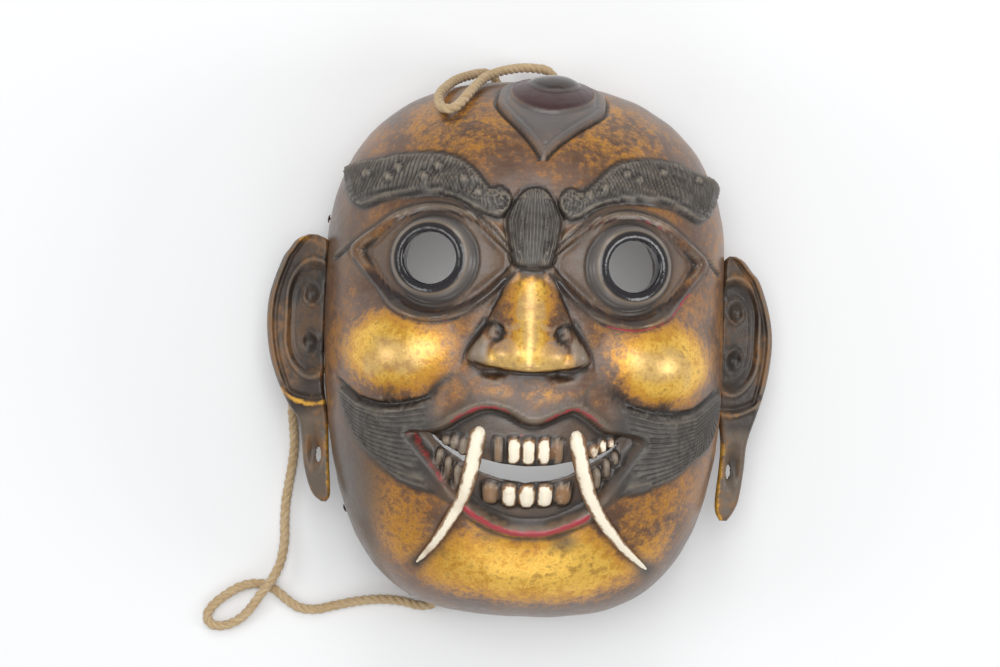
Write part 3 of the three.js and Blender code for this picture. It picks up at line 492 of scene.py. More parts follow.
def carve(x, y, edgeward):   # height over the plain dome, and what each spot is painted with
    marks = ("gilt", "sootAndShade", "red", "ivory", "lacquer", "hair", "iris", "grey")
    paint = {key: np.zeros(x.shape) for key in marks}
    side = np.abs(x)
    height = np.zeros(x.shape)
    line = {key: curveThrough(points, 6) for key, points in carving.items() if key not in ("curls", "scrolls")}
    for key in ("browLeft", "browRight", "tuft", "almond", "moustacheLeft", "moustacheRight", "mouth"):
        line[key] = curveThrough(carving[key], 6, closed=True)

    for sides, middle, across, up, rise in swells:
        height += rise * bump(oval(side if sides == "both" else x, y, middle, across, up))
    for mark, sides, middle, across, up, strength in patches:
        paint[mark] += strength * bump(oval(side if sides == "both" else x, y, middle, across, up))
    jawEdgeDarkening = smoothStep(edgeward, 0.88, 0.99) * smoothStep(-y, 50, 100)   # the jaw's edge is made darker, with less gilt
    paint["gilt"] -= jawEdgeDarkening
    paint["sootAndShade"] += 0.6 * jawEdgeDarkening

    # nose: a wedge that widens down to two curled wings
    half = np.interp(y, noseSet["levels"], noseSet["halves"])
    foot = smoothStep(y + 16 - 4.5 * (side / 34) ** 2, 0, 4.5)
    wedge = noseSet["wedge"] * np.clip(1 - (side / half) ** 2, 0, None) ** 0.7
    wedge += noseSet["ridge"] * bell(x, noseSet["ridgeHalf"])
    wedge *= smoothStep(52 - y, 0, 56) * foot * smoothStep(56 - y, 0, 16)
    wing = oval(side, y, noseSet["wingAt"], noseSet["wingSize"], noseSet["wingSize"])
    wing = noseSet["wing"] * np.clip(1 - wing ** 2.2, 0, 1) ** 0.55 * foot
    wing *= smoothStep(half + 0.5 - side, 0, 5)
    tip = noseSet["tip"] * roundTop(oval(x, y, noseSet["tipAt"], *noseSet["tipSize"])) * foot
    nose = np.maximum(np.maximum(wedge, wing), tip)
    height += nose
    curl, curlAlong = measureLine(side, y, line["noseCurl"])
    sideLine = measureLine(side, y, line["noseSide"])[0]
    height -= noseSet["curlCut"] * bell(curl, 1.7) * smoothStep(curlAlong, 0, 14)
    height -= noseSet["curlDeep"] * bump(oval(side, y, noseSet["curlEye"], 4.6, 5.2))
    height -= noseSet["nostrilDeep"] * bump(oval(side, y, noseSet["nostril"], 11, 5.5))
    height -= noseSet["sideCut"] * bell(sideLine, 2.2)
    # gold leaf down the ridge of the nose, brightened to the top gold as a painted highlight along the ridge
    paint["gilt"] += 2.0 * bell(x, 8.2) * smoothStep(y, -8, 2) * smoothStep(44 - y, 0, 10)
    paint["gilt"] += 0.15 * smoothStep(24 - side, 0, 14) * smoothStep(y, -4, 2) * smoothStep(40 - y, 0, 12)
    paint["gilt"] += 1.7 * smoothStep(32 - side, 0, 14) * smoothStep(y, -16, -12.5) * smoothStep(1 - y, 0, 9)
    paint["sootAndShade"] += 0.7 * bell(curl, 1.8) + 0.45 * bell(sideLine, 4.0)
    paint["sootAndShade"] += 0.75 * smoothStep(side, 11, 21) * smoothStep(nose, 2, 8) * smoothStep(y, 2, 12)
    paint["sootAndShade"] += 0.9 * smoothStep(side, 19, 29) * smoothStep(nose, 2, 6) * smoothStep(6 - y, 0, 6)

    # eyes: eyeball in an almond, with a lacquered collar round the hole
    radius = np.hypot(side - eyeSet["x"], y - eyeSet["y"])
    almond = signedDistance(side, y, line["almond"])
    inEye = 1 - smoothStep(almond, -0.9, 0.7)
    ball = eyeSet["ballDip"] + eyeSet["ball"] * np.clip(1 - (radius / eyeSet["ballReach"]) ** 2, 0, 1)
    lids = eyeSet["lid"] * bump((almond - eyeSet["lidAt"]) / eyeSet["lidHalf"])
    height = (height + lids) * (1 - inEye) + ball * inEye
    height += eyeSet["collar"] * roundTop((radius - eyeSet["collarAt"]) / eyeSet["collarHalf"])
    height -= eyeSet["collarCut"] * bell(radius - eyeSet["collarCutAt"], 0.8) * inEye
    height -= 0.7 * bell(almond + 2.6, 1.1) * smoothStep(radius, 26, 30) * smoothStep(41 - radius, 0, 8)
    fold, foldAlong = measureLine(side, y, line["lidFold"])
    lowFold = measureLine(side, y, line["lowFold"])[0]
    height -= (eyeSet["foldCut"] + 1.2 * smoothStep(30 - foldAlong, 0, 24)) * bell(fold, 1.2)
    height -= 1.1 * bell(lowFold, 1.1)
    onLid = smoothStep(almond, -0.6, 0.4)
    lowerLid = smoothStep(-almond + 5.8, 0, 1.5) * onLid * smoothStep(44 - y, 0, 8)
    upperLid = smoothStep(-almond + 5.4, 0, 1.5) * onLid * smoothStep(y, 46, 52)
    paint["lacquer"] += smoothStep(eyeSet["lacquerReach"] - radius, 0, 1.6) + 0.75 * lowerLid + 0.3 * upperLid
    paint["grey"] += 0.9 * bump((radius - eyeSet["greyAt"]) / 3.2)
    paint["sootAndShade"] += 0.75 * bell(fold, 1.9) + 0.6 * bell(lowFold, 1.6) + 0.3 * inEye
    under = bell(almond - eyeSet["redAt"], 0.7) * smoothStep(38 - y, 0, 6)
    paint["red"] += under * np.where(x > 0, 1.0, 0.45) * smoothStep(side, 34, 50)
    paint["red"] += 0.6 * bell(almond - 0.4, 0.8) * smoothStep(y, 60, 70) * (x > 0)
    paint["red"] += 0.3 * bump(oval(side, y, (84, 46), 9, 9)) * inEye

    # brows: flat raised hair with slanting grooves, curls that end in bosses, and a plain lower border
    for key in ("Left", "Right"):
        brow = signedDistance(x, y, line["brow" + key])
        edge, along = measureLine(x, y, line["browEdge" + key])
        raised = smoothStep(-brow, -0.5, 1.3)
        slant = along - browSet["hairSlant"] * edge - browSet["hairBend"] * edge ** 2
        hairs = browSet["hairCut"] * np.cos(math.tau * slant / browSet["hairPitch"])
        locks = browSet["lockCut"] * np.cos(math.tau * (along * 0.35 + edge * 0.8) / browSet["lockPitch"])
        height += raised * (browSet["rise"] + browSet["swell"] * smoothStep(-brow, 0, 9))
        height += smoothStep(edge, 3.4, 4.4) * smoothStep(-brow, 0.4, 1.6) * (hairs + locks)
        height -= browSet["borderCut"] * bell(edge - browSet["border"], 0.7) * raised
        paint["hair"] = np.maximum(paint["hair"], smoothStep(-brow, -1.0, 0.6))
        paint["sootAndShade"] += 0.7 * bell(brow - 0.8, 1.6)
    for middle in carving["curls"]:
        far = np.hypot(x - middle[0], y - middle[1])
        flat = smoothStep(4.6 - far, 0, 1.2)
        height += flat * (0.5 + browSet["boss"] * roundTop(far / browSet["bossHalf"]))
        height -= browSet["bossCut"] * bell(far - browSet["bossRing"], 0.7)
    for middle in carving["scrolls"]:
        far = np.hypot(x - middle[0], y - middle[1])
        angle = np.arctan2(y - middle[1], (x - middle[0]) * np.sign(middle[0]))
        spiral = browSet["scrollCut"] * np.cos(math.tau * far / browSet["scrollPitch"] - angle)
        spiral += browSet["scrollEye"] * bump(far / 2.6)
        height += smoothStep(browSet["scrollHalf"] - far, 0, 1.5) * spiral

    # tuft of hair between the brows
    tuft = signedDistance(x, y, line["tuft"])
    share = x / np.interp(y, tuftSet["levels"], tuftSet["halves"])
    strands = tuftSet["strandCut"] * np.cos(math.tau * share * tuftSet["strands"]) * smoothStep(-tuft, 0.6, 2)
    swell = tuftSet["swell"] * np.clip(1 - share ** 2, 0, 1)
    height += smoothStep(-tuft, -0.6, 2.2) * (tuftSet["rise"] + swell + strands)
    height -= bell(tuft - 1.2, 1.0)
    paint["hair"] = np.maximum(paint["hair"], smoothStep(-tuft, -1.0, 0.6))
    paint["sootAndShade"] += 0.8 * bell(tuft - 1.0, 1.8)

    # moustache: hair that flows out from the mouth under the cheeks
    for key, sign in (("Left", -1), ("Right", 1)):
        hairArea = signedDistance(x, y, line["moustache" + key])
        out = sign * x
        upper = np.interp(out, moustacheSet["out"], moustacheSet["top"])
        lower = moustacheSet["foot"] + moustacheSet["footBend"] * np.clip(out - 40, 0, None) ** 2
        share = (upper - y) / (upper - lower)
        strands = moustacheSet["strandCut"] * np.cos(math.tau * share * moustacheSet["strands"])
        strands *= smoothStep(-hairArea, 0.4, 2) * smoothStep(out, 44, 60)
        swell = moustacheSet["swell"] * smoothStep(-hairArea, 0, 9)
        raised = smoothStep(-hairArea, -0.5, 1.5) * smoothStep(out, 44, 64)
        crease = bell(y - upper - 1.2, 1.6) * smoothStep(out, 48, 72) * smoothStep(116 - out, 0, 6)
        height += raised * (moustacheSet["rise"] + swell + strands) - moustacheSet["crease"] * crease
        paint["hair"] = np.maximum(paint["hair"], smoothStep(-hairArea, -1.2, 0.8) * smoothStep(out, 40, 60))
        paint["sootAndShade"] += 0.9 * crease + 0.8 * bell(hairArea - 1.0, 2.2)

    # mouth: sunken gums behind raised lips, with rows of teeth
    mouth = signedDistance(x, y, line["mouth"])
    upperLip = measureLine(x, y, line["upperLip"])[0]
    lowerLip = measureLine(x, y, line["lowerLip"])[0]
    inside = smoothStep(-mouth, -1.4, 2.8)
    underLip = smoothStep(-y, 88, 98)
    height -= mouthSet["gumDeep"] * inside
    height += mouthSet["upperLip"] * bump((upperLip - 0.6) / 3.6) * (mouth > -2.5)
    fuller = 0.35 + 0.65 * smoothStep(50 - side, 0, 18)
    height += mouthSet["lowerLip"] * bump((lowerLip - 0.3) / mouthSet["lowerHalf"]) * fuller
    height -= mouthSet["chinDip"] * bump((mouth - 6.5) / 4) * smoothStep(-y, 96, 104)
    paint["sootAndShade"] += 0.95 * inside + 0.9 * bump((mouth - 3 + 2 * underLip) / (9 - 4 * underLip))
    inLip = np.where(mouth < 0, lowerLip, -lowerLip)
    paint["red"] += 1.5 * bump((inLip + 1.6) / 2.9) * smoothStep(41 - side, 0, 7) * (y < -85)
    paint["red"] += 0.9 * bell(upperLip - 0.5, 0.9) * smoothStep(48 - side, 0, 8) * smoothStep(side, 6, 12)
    paint["red"] += 0.6 * bell(lowerLip - 0.6, 0.9) * smoothStep(-x, 40, 46)
    power = mouthSet["toothSquare"]
    for middleX, middleY, halfWide, halfTall, left in teeth:
        q = np.abs((x - middleX) / halfWide) ** power + np.abs((y - middleY) / halfTall) ** power
        q = q ** (1 / power)
        height += mouthSet["tooth"] * np.clip(1 - q ** 3, 0, 1) ** 0.6
        paint["ivory"] += left * smoothStep(1.02 - q, 0.02, 0.34)
        paint["sootAndShade"] -= 0.8 * left * smoothStep(1.0 - q, 0, 0.2)
    for points in fangs:
        fang = measureLine(x, y, curveThrough([p[:2] for p in points], 6))[0]
        height -= mouthSet["fangBed"] * bell(fang, 5.0) * (1 - inside)
        paint["sootAndShade"] += 0.8 * bell(fang, 6.5)
        paint["gilt"] -= 0.5 * bell(fang, 8)

    # third eye: a pointed leaf with a cut outline, a domed iris and a ringed pupil
    within, iris, pupil = thirdEyeMarks(x, y, edgeward)
    leaf = smoothStep(within, -1.0, 1.6)
    ringGap = pupil - thirdEye["pupil"]
    height += thirdEye["leafRise"] * leaf - thirdEye["outlineCut"] * bell(within + 1.4, 0.9)
    height -= thirdEye["lineCut"] * bell(within - thirdEye["lineAt"], 1.0)
    height += thirdEye["irisDome"] * roundTop(iris) + thirdEye["irisRim"] * bell(iris - 0.98, 0.035)
    height += thirdEye["pupilDome"] * roundTop(pupil / thirdEye["pupil"])
    height += thirdEye["pupilRim"] * bell(ringGap, 0.8)
    paint["sootAndShade"] += 0.95 * bell(within + 1.2, 1.6) + 0.6 * bell(within - thirdEye["lineAt"], 1.3)
    paint["iris"] += smoothStep(0.99 - iris, 0, 0.06) * (1 - smoothStep(-ringGap, -0.5, 0.8))
    paint["lacquer"] += smoothStep(-ringGap, -0.4, 0.8)
    paint["grey"] += 0.9 * leaf * smoothStep(iris, 0.98, 1.02)
    paint["grey"] += 0.9 * bell(ringGap, 1.2) + 0.8 * bell(iris - 1.0, 0.04)
    paint["gilt"] -= 2 * leaf

    # tool marks: shallow facets over the plain parts
    facets = np.sin(x / 5.3 + 1.7 * np.sin(y / 9.1)) * np.sin(y / 6.1 + 1.3 * np.sin(x / 11.3))
    height += 0.22 * facets * (1 - inEye)
    paint["gilt"] *= 1 - 0.85 * paint["hair"]
    return height * smoothStep(1 - np.arcsin(np.clip(edgeward, 0, 1)) * 2 / math.pi, 0, 0.06), paint


def roundEyes(a, b, x, y, cells, holes):   # turns the square rings of the grid round each eye into round ones
    for side in (-1, 1):
        p = (a - holes["eye"][side][0]) / (cells[0] * holes["window"])
        q = (b - holes["eye"][side][1]) / (cells[1] * holes["window"])
        s = np.maximum(np.maximum(np.abs(p), np.abs(q)), 1e-9)
        p, q = p / s, q / s
        reach = s * holes["eyeHole"] * holes["window"] / holes["eyeCells"]
        ringX = holes["eyeAt"][side][0] + reach * p * np.sqrt(1 - q * q / 2)
        ringY = holes["eyeAt"][side][1] + reach * q * np.sqrt(1 - p * p / 2)
        w = np.where(s < 1, 1 - smoothStep(s, holes["fade"], 1.0), 0)
        x, y = x + (ringX - x) * w, y + (ringY - y) * w
    return x, y


def bendSmile(a, b, x, y, cells, holes):   # bends the rows round the mouth into a smile
    p = np.abs(a - holes["mouth"][0]) / (cells[0] * mouthSet["windowX"])
    q = (b - holes["mouth"][1]) / (cells[1] * mouthSet["windowY"])
    near = (1 - smoothStep(p, 0.72, 1)) * (1 - smoothStep(np.abs(q), 0.3, 1))
    out = np.abs(x - mouthSet["x"])
    gape = np.interp(out, mouthSet["gapeOut"], mouthSet["gape"])
    edge = mouthSet["slotRows"] / mouthSet["windowY"]
    beyond = np.maximum(np.abs(q) - edge, 0) * mouthSet["windowY"] * mouthSet["rowHeight"]
    smile = np.interp(out, mouthSet["smileOut"], mouthSet["smileY"])
    smile += np.sign(q) * (np.minimum(np.abs(q) / edge, 1) * gape + beyond)
    return y + (smile - y) * np.where((p < 1) & (np.abs(q) < 1), near, 0)


def fitHollow(y, scale):   # drawn in towards the middle of the hollow
    return (y - headSet["hollowMiddle"]) * scale + headSet["hollowMiddle"]


def gridShell(bm, columns, rows, holes, refine):   # grid in its own square, cut open at the eyes and mouth
    made = bmesh.ops.create_grid(bm, x_segments=columns, y_segments=rows, size=1.0)["verts"]
    cells = (2 / columns, 2 / rows)
    spots = np.array([v.co[:2] for v in made])
    planX, planY = squareToPlan(spots[:, 0], spots[:, 1])

    def snap(x, y):
        return spots[np.argmin(np.hypot(planX - x, planY - y))]
    holes["eye"] = {s: snap(*holes["eyeAt"][s]) for s in (-1, 1)}
    wide, tall = holes["mouthScale"]
    holes["mouth"] = snap(mouthSet["x"] * wide, fitHollow(mouthSet["y"], tall))
    sameRow = np.abs(spots[:, 1] - holes["mouth"][1]) < cells[1] / 2
    slotCells = np.sum(sameRow & (planX > mouthSet["x"]) & (planX < mouthSet["half"] * wide))
    for direction, cuts, test in refine:
        edges = bm.edges[:]
        middles = np.array([((e.verts[0].co + e.verts[1].co) / 2)[:2] for e in edges])
        runs = np.array([(e.verts[1].co - e.verts[0].co)[:2] for e in edges])
        level = np.abs(runs[:, 0]) / cells[0] > np.abs(runs[:, 1]) / cells[1]
        wanted = test(*squareToPlan(middles[:, 0], middles[:, 1]))
        wanted &= {"x": level, "y": ~level, "both": True}[direction]
        chosen = [e for e, w in zip(edges, wanted) if w]
        bmesh.ops.subdivide_edges(bm, edges=chosen, cuts=cuts, use_grid_fill=True)

    def cellsFrom(face, spot):
        c = face.calc_center_median()
        return abs(c.x - spot[0]) / cells[0], abs(c.y - spot[1]) / cells[1]
    gone = []
    for face in bm.faces:
        inEyes = any(max(cellsFrom(face, holes["eye"][s])) < holes["eyeCells"] for s in (-1, 1))
        across, up = cellsFrom(face, holes["mouth"])
        if inEyes or (across < slotCells and up < holes["slotRows"]):
            gone.append(face)
    bmesh.ops.delete(bm, geom=gone, context="FACES")
    return cells


def boundaryLoops(edges):   # sorts open edges into the outer border, the two eyes and the mouth
    loops = {"border": [], "left": [], "right": [], "mouth": []}
    for e in edges:
        c = (e.verts[0].co + e.verts[1].co) / 2 / mm
        if math.hypot(abs(c.x) - eyeSet["x"], c.y - eyeSet["y"]) < 30:
            loops["left" if c.x < 0 else "right"].append(e)
        elif abs(c.x) < 75 and -100 < c.y < -40:
            loops["mouth"].append(e)
        else:
            loops["border"].append(e)
    return loops


def extrudeDown(bm, edges, move):   # one more row of wall below a loop
    made = bmesh.ops.extrude_edge_only(bm, edges=edges)["geom"]
    for v in [g for g in made if isinstance(g, bmesh.types.BMVert)]:
        v.co = move(v.co)
    return [g for g in made if isinstance(g, bmesh.types.BMEdge) and g.is_boundary]


def lowerWall(bm, ring, rows, lean, run):   # a loop taken down row by row, drawn in towards the middle
    def drawnIn(co):
        x, y = co.x / mm, co.y / mm - headSet["centreY"]
        k = 1 - (inset - lastInset) / math.hypot(x, y)
        return Vector((x * k, y * k + headSet["centreY"], z)) * mm
    lastInset = 0.0
    for z, rounding in rows:
        inset = lean * ((headSet["widestZ"] - z) / run) ** 2 + rounding
        ring = extrudeDown(bm, ring, drawnIn)
        lastInset = inset
    return ring


def meanOfNeighbours(values):
    total = np.bincount(links[:, 0], values[links[:, 1]], frontCount)
    return (total + np.bincount(links[:, 1], values[links[:, 0]], frontCount)) / linkCount


def inBox(x0, x1, y0, y1):
    return lambda x, y: (x > x0) & (x < x1) & (y > y0) & (y < y1)


def mirrorBox(x0, x1, y0, y1):
    return lambda x, y: inBox(x0, x1, y0, y1)(np.abs(x), y)


def mouthCorner(x, y):   # a slanting strip along each side of the lower lip
    return mirrorBox(38, 66, -99, -50)(x, y) & (np.abs(y + 146 - 1.36 * np.abs(x)) < 13)


def mouthAndEnds(x, y):
    return inBox(-76, 76, -125, -31)(x, y) | mirrorBox(74, 118, -86, -24)(x, y)


refineSteps = [   # where the grid is cut finer, which way and by how many cuts
    ("both", 1, mirrorBox(6, 106, 10, 82)),   # eyes
    ("both", 1, mouthAndEnds),
    ("both", 1, inBox(-42, 42, -22, 16)),   # nose
    ("both", 1, inBox(-28, 44, 108, 200)),   # third eye
    ("x", 3, mirrorBox(12, 116, 84, 110)),   # brows
    ("x", 1, mirrorBox(12, 110, 72, 84)),
    ("x", 3, inBox(-17, 17, 44, 90)),   # tuft
    ("y", 1, mirrorBox(56, 118, -88, -26)),   # moustache
    ("both", 1, mouthCorner),
]
frontHoles = {"eyeAt": {s: (s * eyeSet["x"], eyeSet["y"]) for s in (-1, 1)}, "eyeHole": eyeSet["hole"],
              "mouthScale": (1.0, 1.0), "window": 18, "eyeCells": 5, "slotRows": mouthSet["slotRows"],
              "fade": 0.62}
bm = bmesh.new()
order = bm.verts.layers.int.new("order")   # 1 up for the front, 0 for the wall, -1 inside, -2 for the tusks
fibre = bm.verts.layers.float_vector.new("fibre")
edgeMark = bm.verts.layers.float.new("tuskEdge")
cells = gridShell(bm, headSet["columns"], headSet["rows"], frontHoles, refineSteps)
bm.verts.index_update()
frontCount = len(bm.verts)
for v in bm.verts:
    v[order] = v.index + 1
a, b = np.array([v.co[:2] for v in bm.verts]).T
planX, planY = roundEyes(a, b, *squareToPlan(a, b), cells, frontHoles)
planY = bendSmile(a, b, planX, planY, cells, frontHoles)
base, normal, edgeward = domePoint(planX, planY)
relief, paint = carve(planX, planY, edgeward)
links = np.array([(e.verts[0].index, e.verts[1].index) for e in bm.edges])
linkCount = np.bincount(links.ravel(), minlength=frontCount).astype(float)
lips = [curveThrough(carving[key], 6) for key in ("upperLip", "lowerLip")]
lipGap = np.minimum(*[measureLine(planX, planY, lip)[0] for lip in lips])
for step in range(3):   # softens the steps of the grid along the slanting lips
    relief = relief + (meanOfNeighbours(relief) - relief) * 0.5 * bell(lipGap, 5)
for v, p in zip(bm.verts, base + normal * relief[:, None]):
    v.co = Vector(p * mm)
print("front", frontCount, "relief", round(relief.min(), 1), round(relief.max(), 1))

# painted shade in the cut lines and hollows, and worn edges with a painted highlight, from how each spot
# stands above its near and its wider surroundings
shadeAndWearSet = {"near": 6, "wide": 40}   # rounds of blurring
standing = {}
blurred = relief
for step in range(1, shadeAndWearSet["wide"] + 1):
    blurred = 0.5 * blurred + 0.5 * meanOfNeighbours(blurred)
    standing[step] = relief - blurred
near, wide = standing[shadeAndWearSet["near"]], standing[shadeAndWearSet["wide"]]
# painted shade where a spot sits below its surroundings
paint["paintedShade"] = smoothStep(-near, 0.05, 0.55) + 0.7 * smoothStep(-wide, 0.3, 2.0)
covered = 0.35 * paint["hair"] + 0.8 * paint["grey"] + 0.6 * bell(lipGap, 6)
# wear, with a painted highlight where a spot stands above its surroundings
paint["wearAndHighlight"] = smoothStep(near, 0.08, 0.6) + 0.5 * smoothStep(wide, 0.4, 2.2)
paint["wearAndHighlight"] *= 1 - np.clip(covered, 0, 1)

# wall down to the flat rim, the bores of the eyes and the slot of the mouth
loops = boundaryLoops([e for e in bm.edges if e.is_boundary])
rimEdges = lowerWall(bm, loops["border"], headSet["wallRows"], headSet["wallLean"], headSet["wallHeight"])
for key, side in (("left", -1), ("right", 1)):
    for depth in eyeSet["holeRows"]:
        lean = Vector((-side * eyeSet["tilt"], 0, -1)) * depth * mm
        loops[key] = extrudeDown(bm, loops[key], lambda co: co + lean)
for depth in mouthSet["wallRows"]:
    loops["mouth"] = extrudeDown(bm, loops["mouth"], lambda co: co + Vector((0, 0, -depth * mm)))

# the hollow: a coarser shell inside the first, with gouge marks
wide = 1 - headSet["wall"] / headSet["halfWidth"]
tall = 1 - 2 * headSet["wall"] / (headSet["crownReach"] + headSet["chinReach"])
boreX = eyeSet["x"] - eyeSet["tilt"] * eyeSet["boreDepth"]   # the bore leans towards the middle as it goes in
innerHoles = {"eyeAt": {s: (s * boreX / wide, fitHollow(eyeSet["y"], 1 / tall)) for s in (-1, 1)},
              "eyeHole": 1.3 * eyeSet["hole"] / wide, "mouthScale": (1 / wide, 1 / tall),
              "window": 7, "eyeCells": 3, "slotRows": 1.2, "fade": 0.45}
inner = bmesh.new()
innerOrder = inner.verts.layers.int.new("order")
cells = gridShell(inner, headSet["innerColumns"], headSet["innerRows"], innerHoles, [])
a, b = np.array([v.co[:2] for v in inner.verts]).T
planX, planY = roundEyes(a, b, *squareToPlan(a, b), cells, innerHoles)
out = np.abs(planX * wide)   # the opening behind the mouth follows the smile
smile = np.interp(out, mouthSet["smileOut"], mouthSet["smileY"]) - mouthSet["y"]
planY = planY + smile * (1 - smoothStep(np.abs(planY - mouthSet["y"]), 12, 46)) * (1 - smoothStep(out, 64, 92))
base, normal, edgeward = domePoint(planX, planY)
gouge = 0.9 * np.sin(planX / 3.1 + 2 * np.sin(planY / 7)) * np.sin(planY / 4.2 + 2 * np.sin(planX / 6))
base = base + normal * (gouge * smoothStep(1 - edgeward, 0, 0.05))[:, None]
base[:, 0] *= wide
base[:, 1] = fitHollow(base[:, 1], tall)
rising = np.maximum(base[:, 2] - headSet["widestZ"], 0)
base[:, 2] = headSet["widestZ"] + rising * (headSet["dome"] - headSet["wall"] - 1) / headSet["dome"]
for v, p in zip(inner.verts, base):
    v.co = Vector(p * mm)
    v[innerOrder] = -1
innerMesh = bpy.data.meshes.new("inner")
inner.to_mesh(innerMesh)
inner.free()
oldEdges = set(bm.edges)
bm.from_mesh(innerMesh)
bpy.data.meshes.remove(innerMesh)
innerLoops = boundaryLoops([e for e in bm.edges if e.is_boundary and e not in oldEdges])
ring = lowerWall(bm, innerLoops["border"], headSet["hollowRows"], headSet["hollowLean"], headSet["widestZ"])
bmesh.ops.triangle_fill(bm, use_beauty=True, edges=rimEdges + ring)   # the flat rim between the two walls
for key in ("left", "right", "mouth"):
    bmesh.ops.bridge_loops(bm, edges=loops[key] + innerLoops[key])

# fangs: tapered tusks that grow out of the upper gum and curl over the lip
fangSet = {"thick": 5.0, "tip": 0.3, "lift": 0.8, "step": 1.2, "sides": 22, "levelled": 10}
for points in fangs:
    path = curveThrough(points, 8)
    base, normal, edgeward = domePoint(path[:, 0], path[:, 1])
    lift = np.pad(carve(path[:, 0], path[:, 1], edgeward)[0], fangSet["levelled"], mode="edge")
    window = 2 * fangSet["levelled"] + 1
    level = np.convolve(lift, np.ones(window) / window, mode="valid")   # rides over the teeth and the lip
    path, reach = evenSteps(base + normal * (level + fangSet["lift"] + path[:, 2])[:, None], fangSet["step"])
    share = reach / reach[-1]
    thick = fangSet["thick"] * (1 - share) ** 0.5 + fangSet["tip"]
    thick *= np.sqrt(np.clip(share / 0.06 + 0.3, 0, 1))   # rounded at the root
    for v in addTube(bm, path, thick, fangSet["sides"], fibre):
        v[order] = -2
        far = measureLine(np.array([v.co.x / mm]), np.array([v.co.y / mm]), path[:, :2])[0]
        v[edgeMark] = float(far[0] / np.interp(v[fibre].z, reach, thick))
print("open edges left", sum(e.is_boundary for e in bm.edges))

place = np.array([v[order] for v in bm.verts])
maskPaint = {}
for key, values in paint.items():
    maskPaint[key] = np.where(place > 0, np.clip(values, 0, 1.4)[np.maximum(place, 1) - 1], 0)
maskPaint["bare"] = (place == -1) * 1.0
maskPaint["ivory"][place == -2] = 1.0
maskPaint["gilt"][place == 0] = 0.12
maskFace = makeObject("maskFace", bm, maskPaint)
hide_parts("mask_face")
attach(maskFace, "root")


# Carved wood under old gilding and soot: satin brown, warm gold where the leaf is left, painted shade
# near-black in the cuts, and a painted highlight with the wear on raised edges.
# Each layer: the marks and noises that add up to where it shows, from and to, most strength and colour
leafMix = {"gilt": 1.0, "fine": 2.0, "broad": 2.4, "grains": 1.2}
faceFinish = {
    "name": "gilded and smoked wood", "base": "#573c2a",
    "coat": 0.1, "coatRough": 0.22, "stretched": {"streaks": ((60.0, 420.0, 420.0), 4.0)},
    "noises": {"broad": (28.0, 5.0), "fine": (210.0, 6.0), "grains": (620.0, 3.0), "specks": (1100.0, 2.0)},
    "marks": ["gilt", "sootAndShade", "red", "ivory", "lacquer", "hair", "iris", "grey", "paintedShade", "wearAndHighlight", "bare",
              "tuskEdge"],
    "layers": [
        ({"broad": 1.0}, 0.36, 0.64, 1.0, "#765033"),
        ({"streaks": 1.0}, 0.4, 0.75, 0.5, "#6e5846"),
        (leafMix, 2.7, 3.45, 0.95, "#a3702f"),
        (leafMix, 3.15, 3.85, 1.0, "#cb9230"),
        (leafMix, 3.65, 4.55, 1.0, "#f6c658"),
        ({"fine": 1.0, "broad": 0.6}, 0.84, 1.05, 0.5, "#7a3d12"),
        ({"grains": 1.0, "specks": 0.6}, 0.93, 1.06, 0.5, "#4a2410"),
        # smoke patina in the hollows, with painted shade under the nose and under the lip
        ({"sootAndShade": 1.0, "fine": 0.5, "broad": 0.8}, 0.75, 1.7, 0.85, "#463c34"),
        ({"hair": 1.0}, 0.0, 1.0, 0.95, "#3a3633"),
        ({"hair": 1.0, "fine": 1.0}, 1.35, 1.7, 0.9, "#57524c"),
        ({"iris": 1.0}, 0.0, 1.0, 0.95, "#331116"),
        # painted shade, near-black in the cuts and hollows
        ({"paintedShade": 1.0}, 0.0, 1.3, 0.8, "#18120e"),
        # raised edges paler: wear of the gilding with a painted highlight
        ({"wearAndHighlight": 1.0}, 0.1, 1.2, 0.34, "#b3a590"),
        ({"lacquer": 1.0}, 0.0, 1.0, 0.92, "#17181e"),
        ({"grey": 1.0}, 0.0, 1.0, 0.75, "#5f5e5e"),
        ({"red": 1.0, "fine": 0.9}, 0.8, 1.35, 0.92, "#9c2430"),
        ({"ivory": 1.0}, 0.05, 0.5, 0.85, "#8a5c26"),
        ({"ivory": 1.0, "fine": 1.0}, 0.85, 1.25, 1.0, "#f0e6d0"),
        ({"ivory": 1.0, "broad": 1.0, "paintedShade": 0.4}, 1.55, 1.9, 0.85, "#8a5c26"),
        ({"tuskEdge": 0.75, "fine": 0.8, "ivory": 0.1}, 0.88, 1.12, 0.9, "#7d5224"),
        ({"bare": 1.0}, 0.0, 1.0, 1.0, "#4a3420"),
        ({"bare": 1.0, "streaks": 1.0}, 1.35, 1.7, 1.0, "#6f5333"),
    ],
    "rough": (0.2, {"fine": 0.3, "bare": 0.35, "lacquer": -0.26, "hair": 0.12}),
    "metal": ({**leafMix, "sootAndShade": -1.2}, 3.1, 4.0, 0.5),
    "bumps": {"grains": (0.2, 0.0004), "fine": (0.22, 0.001)},
}


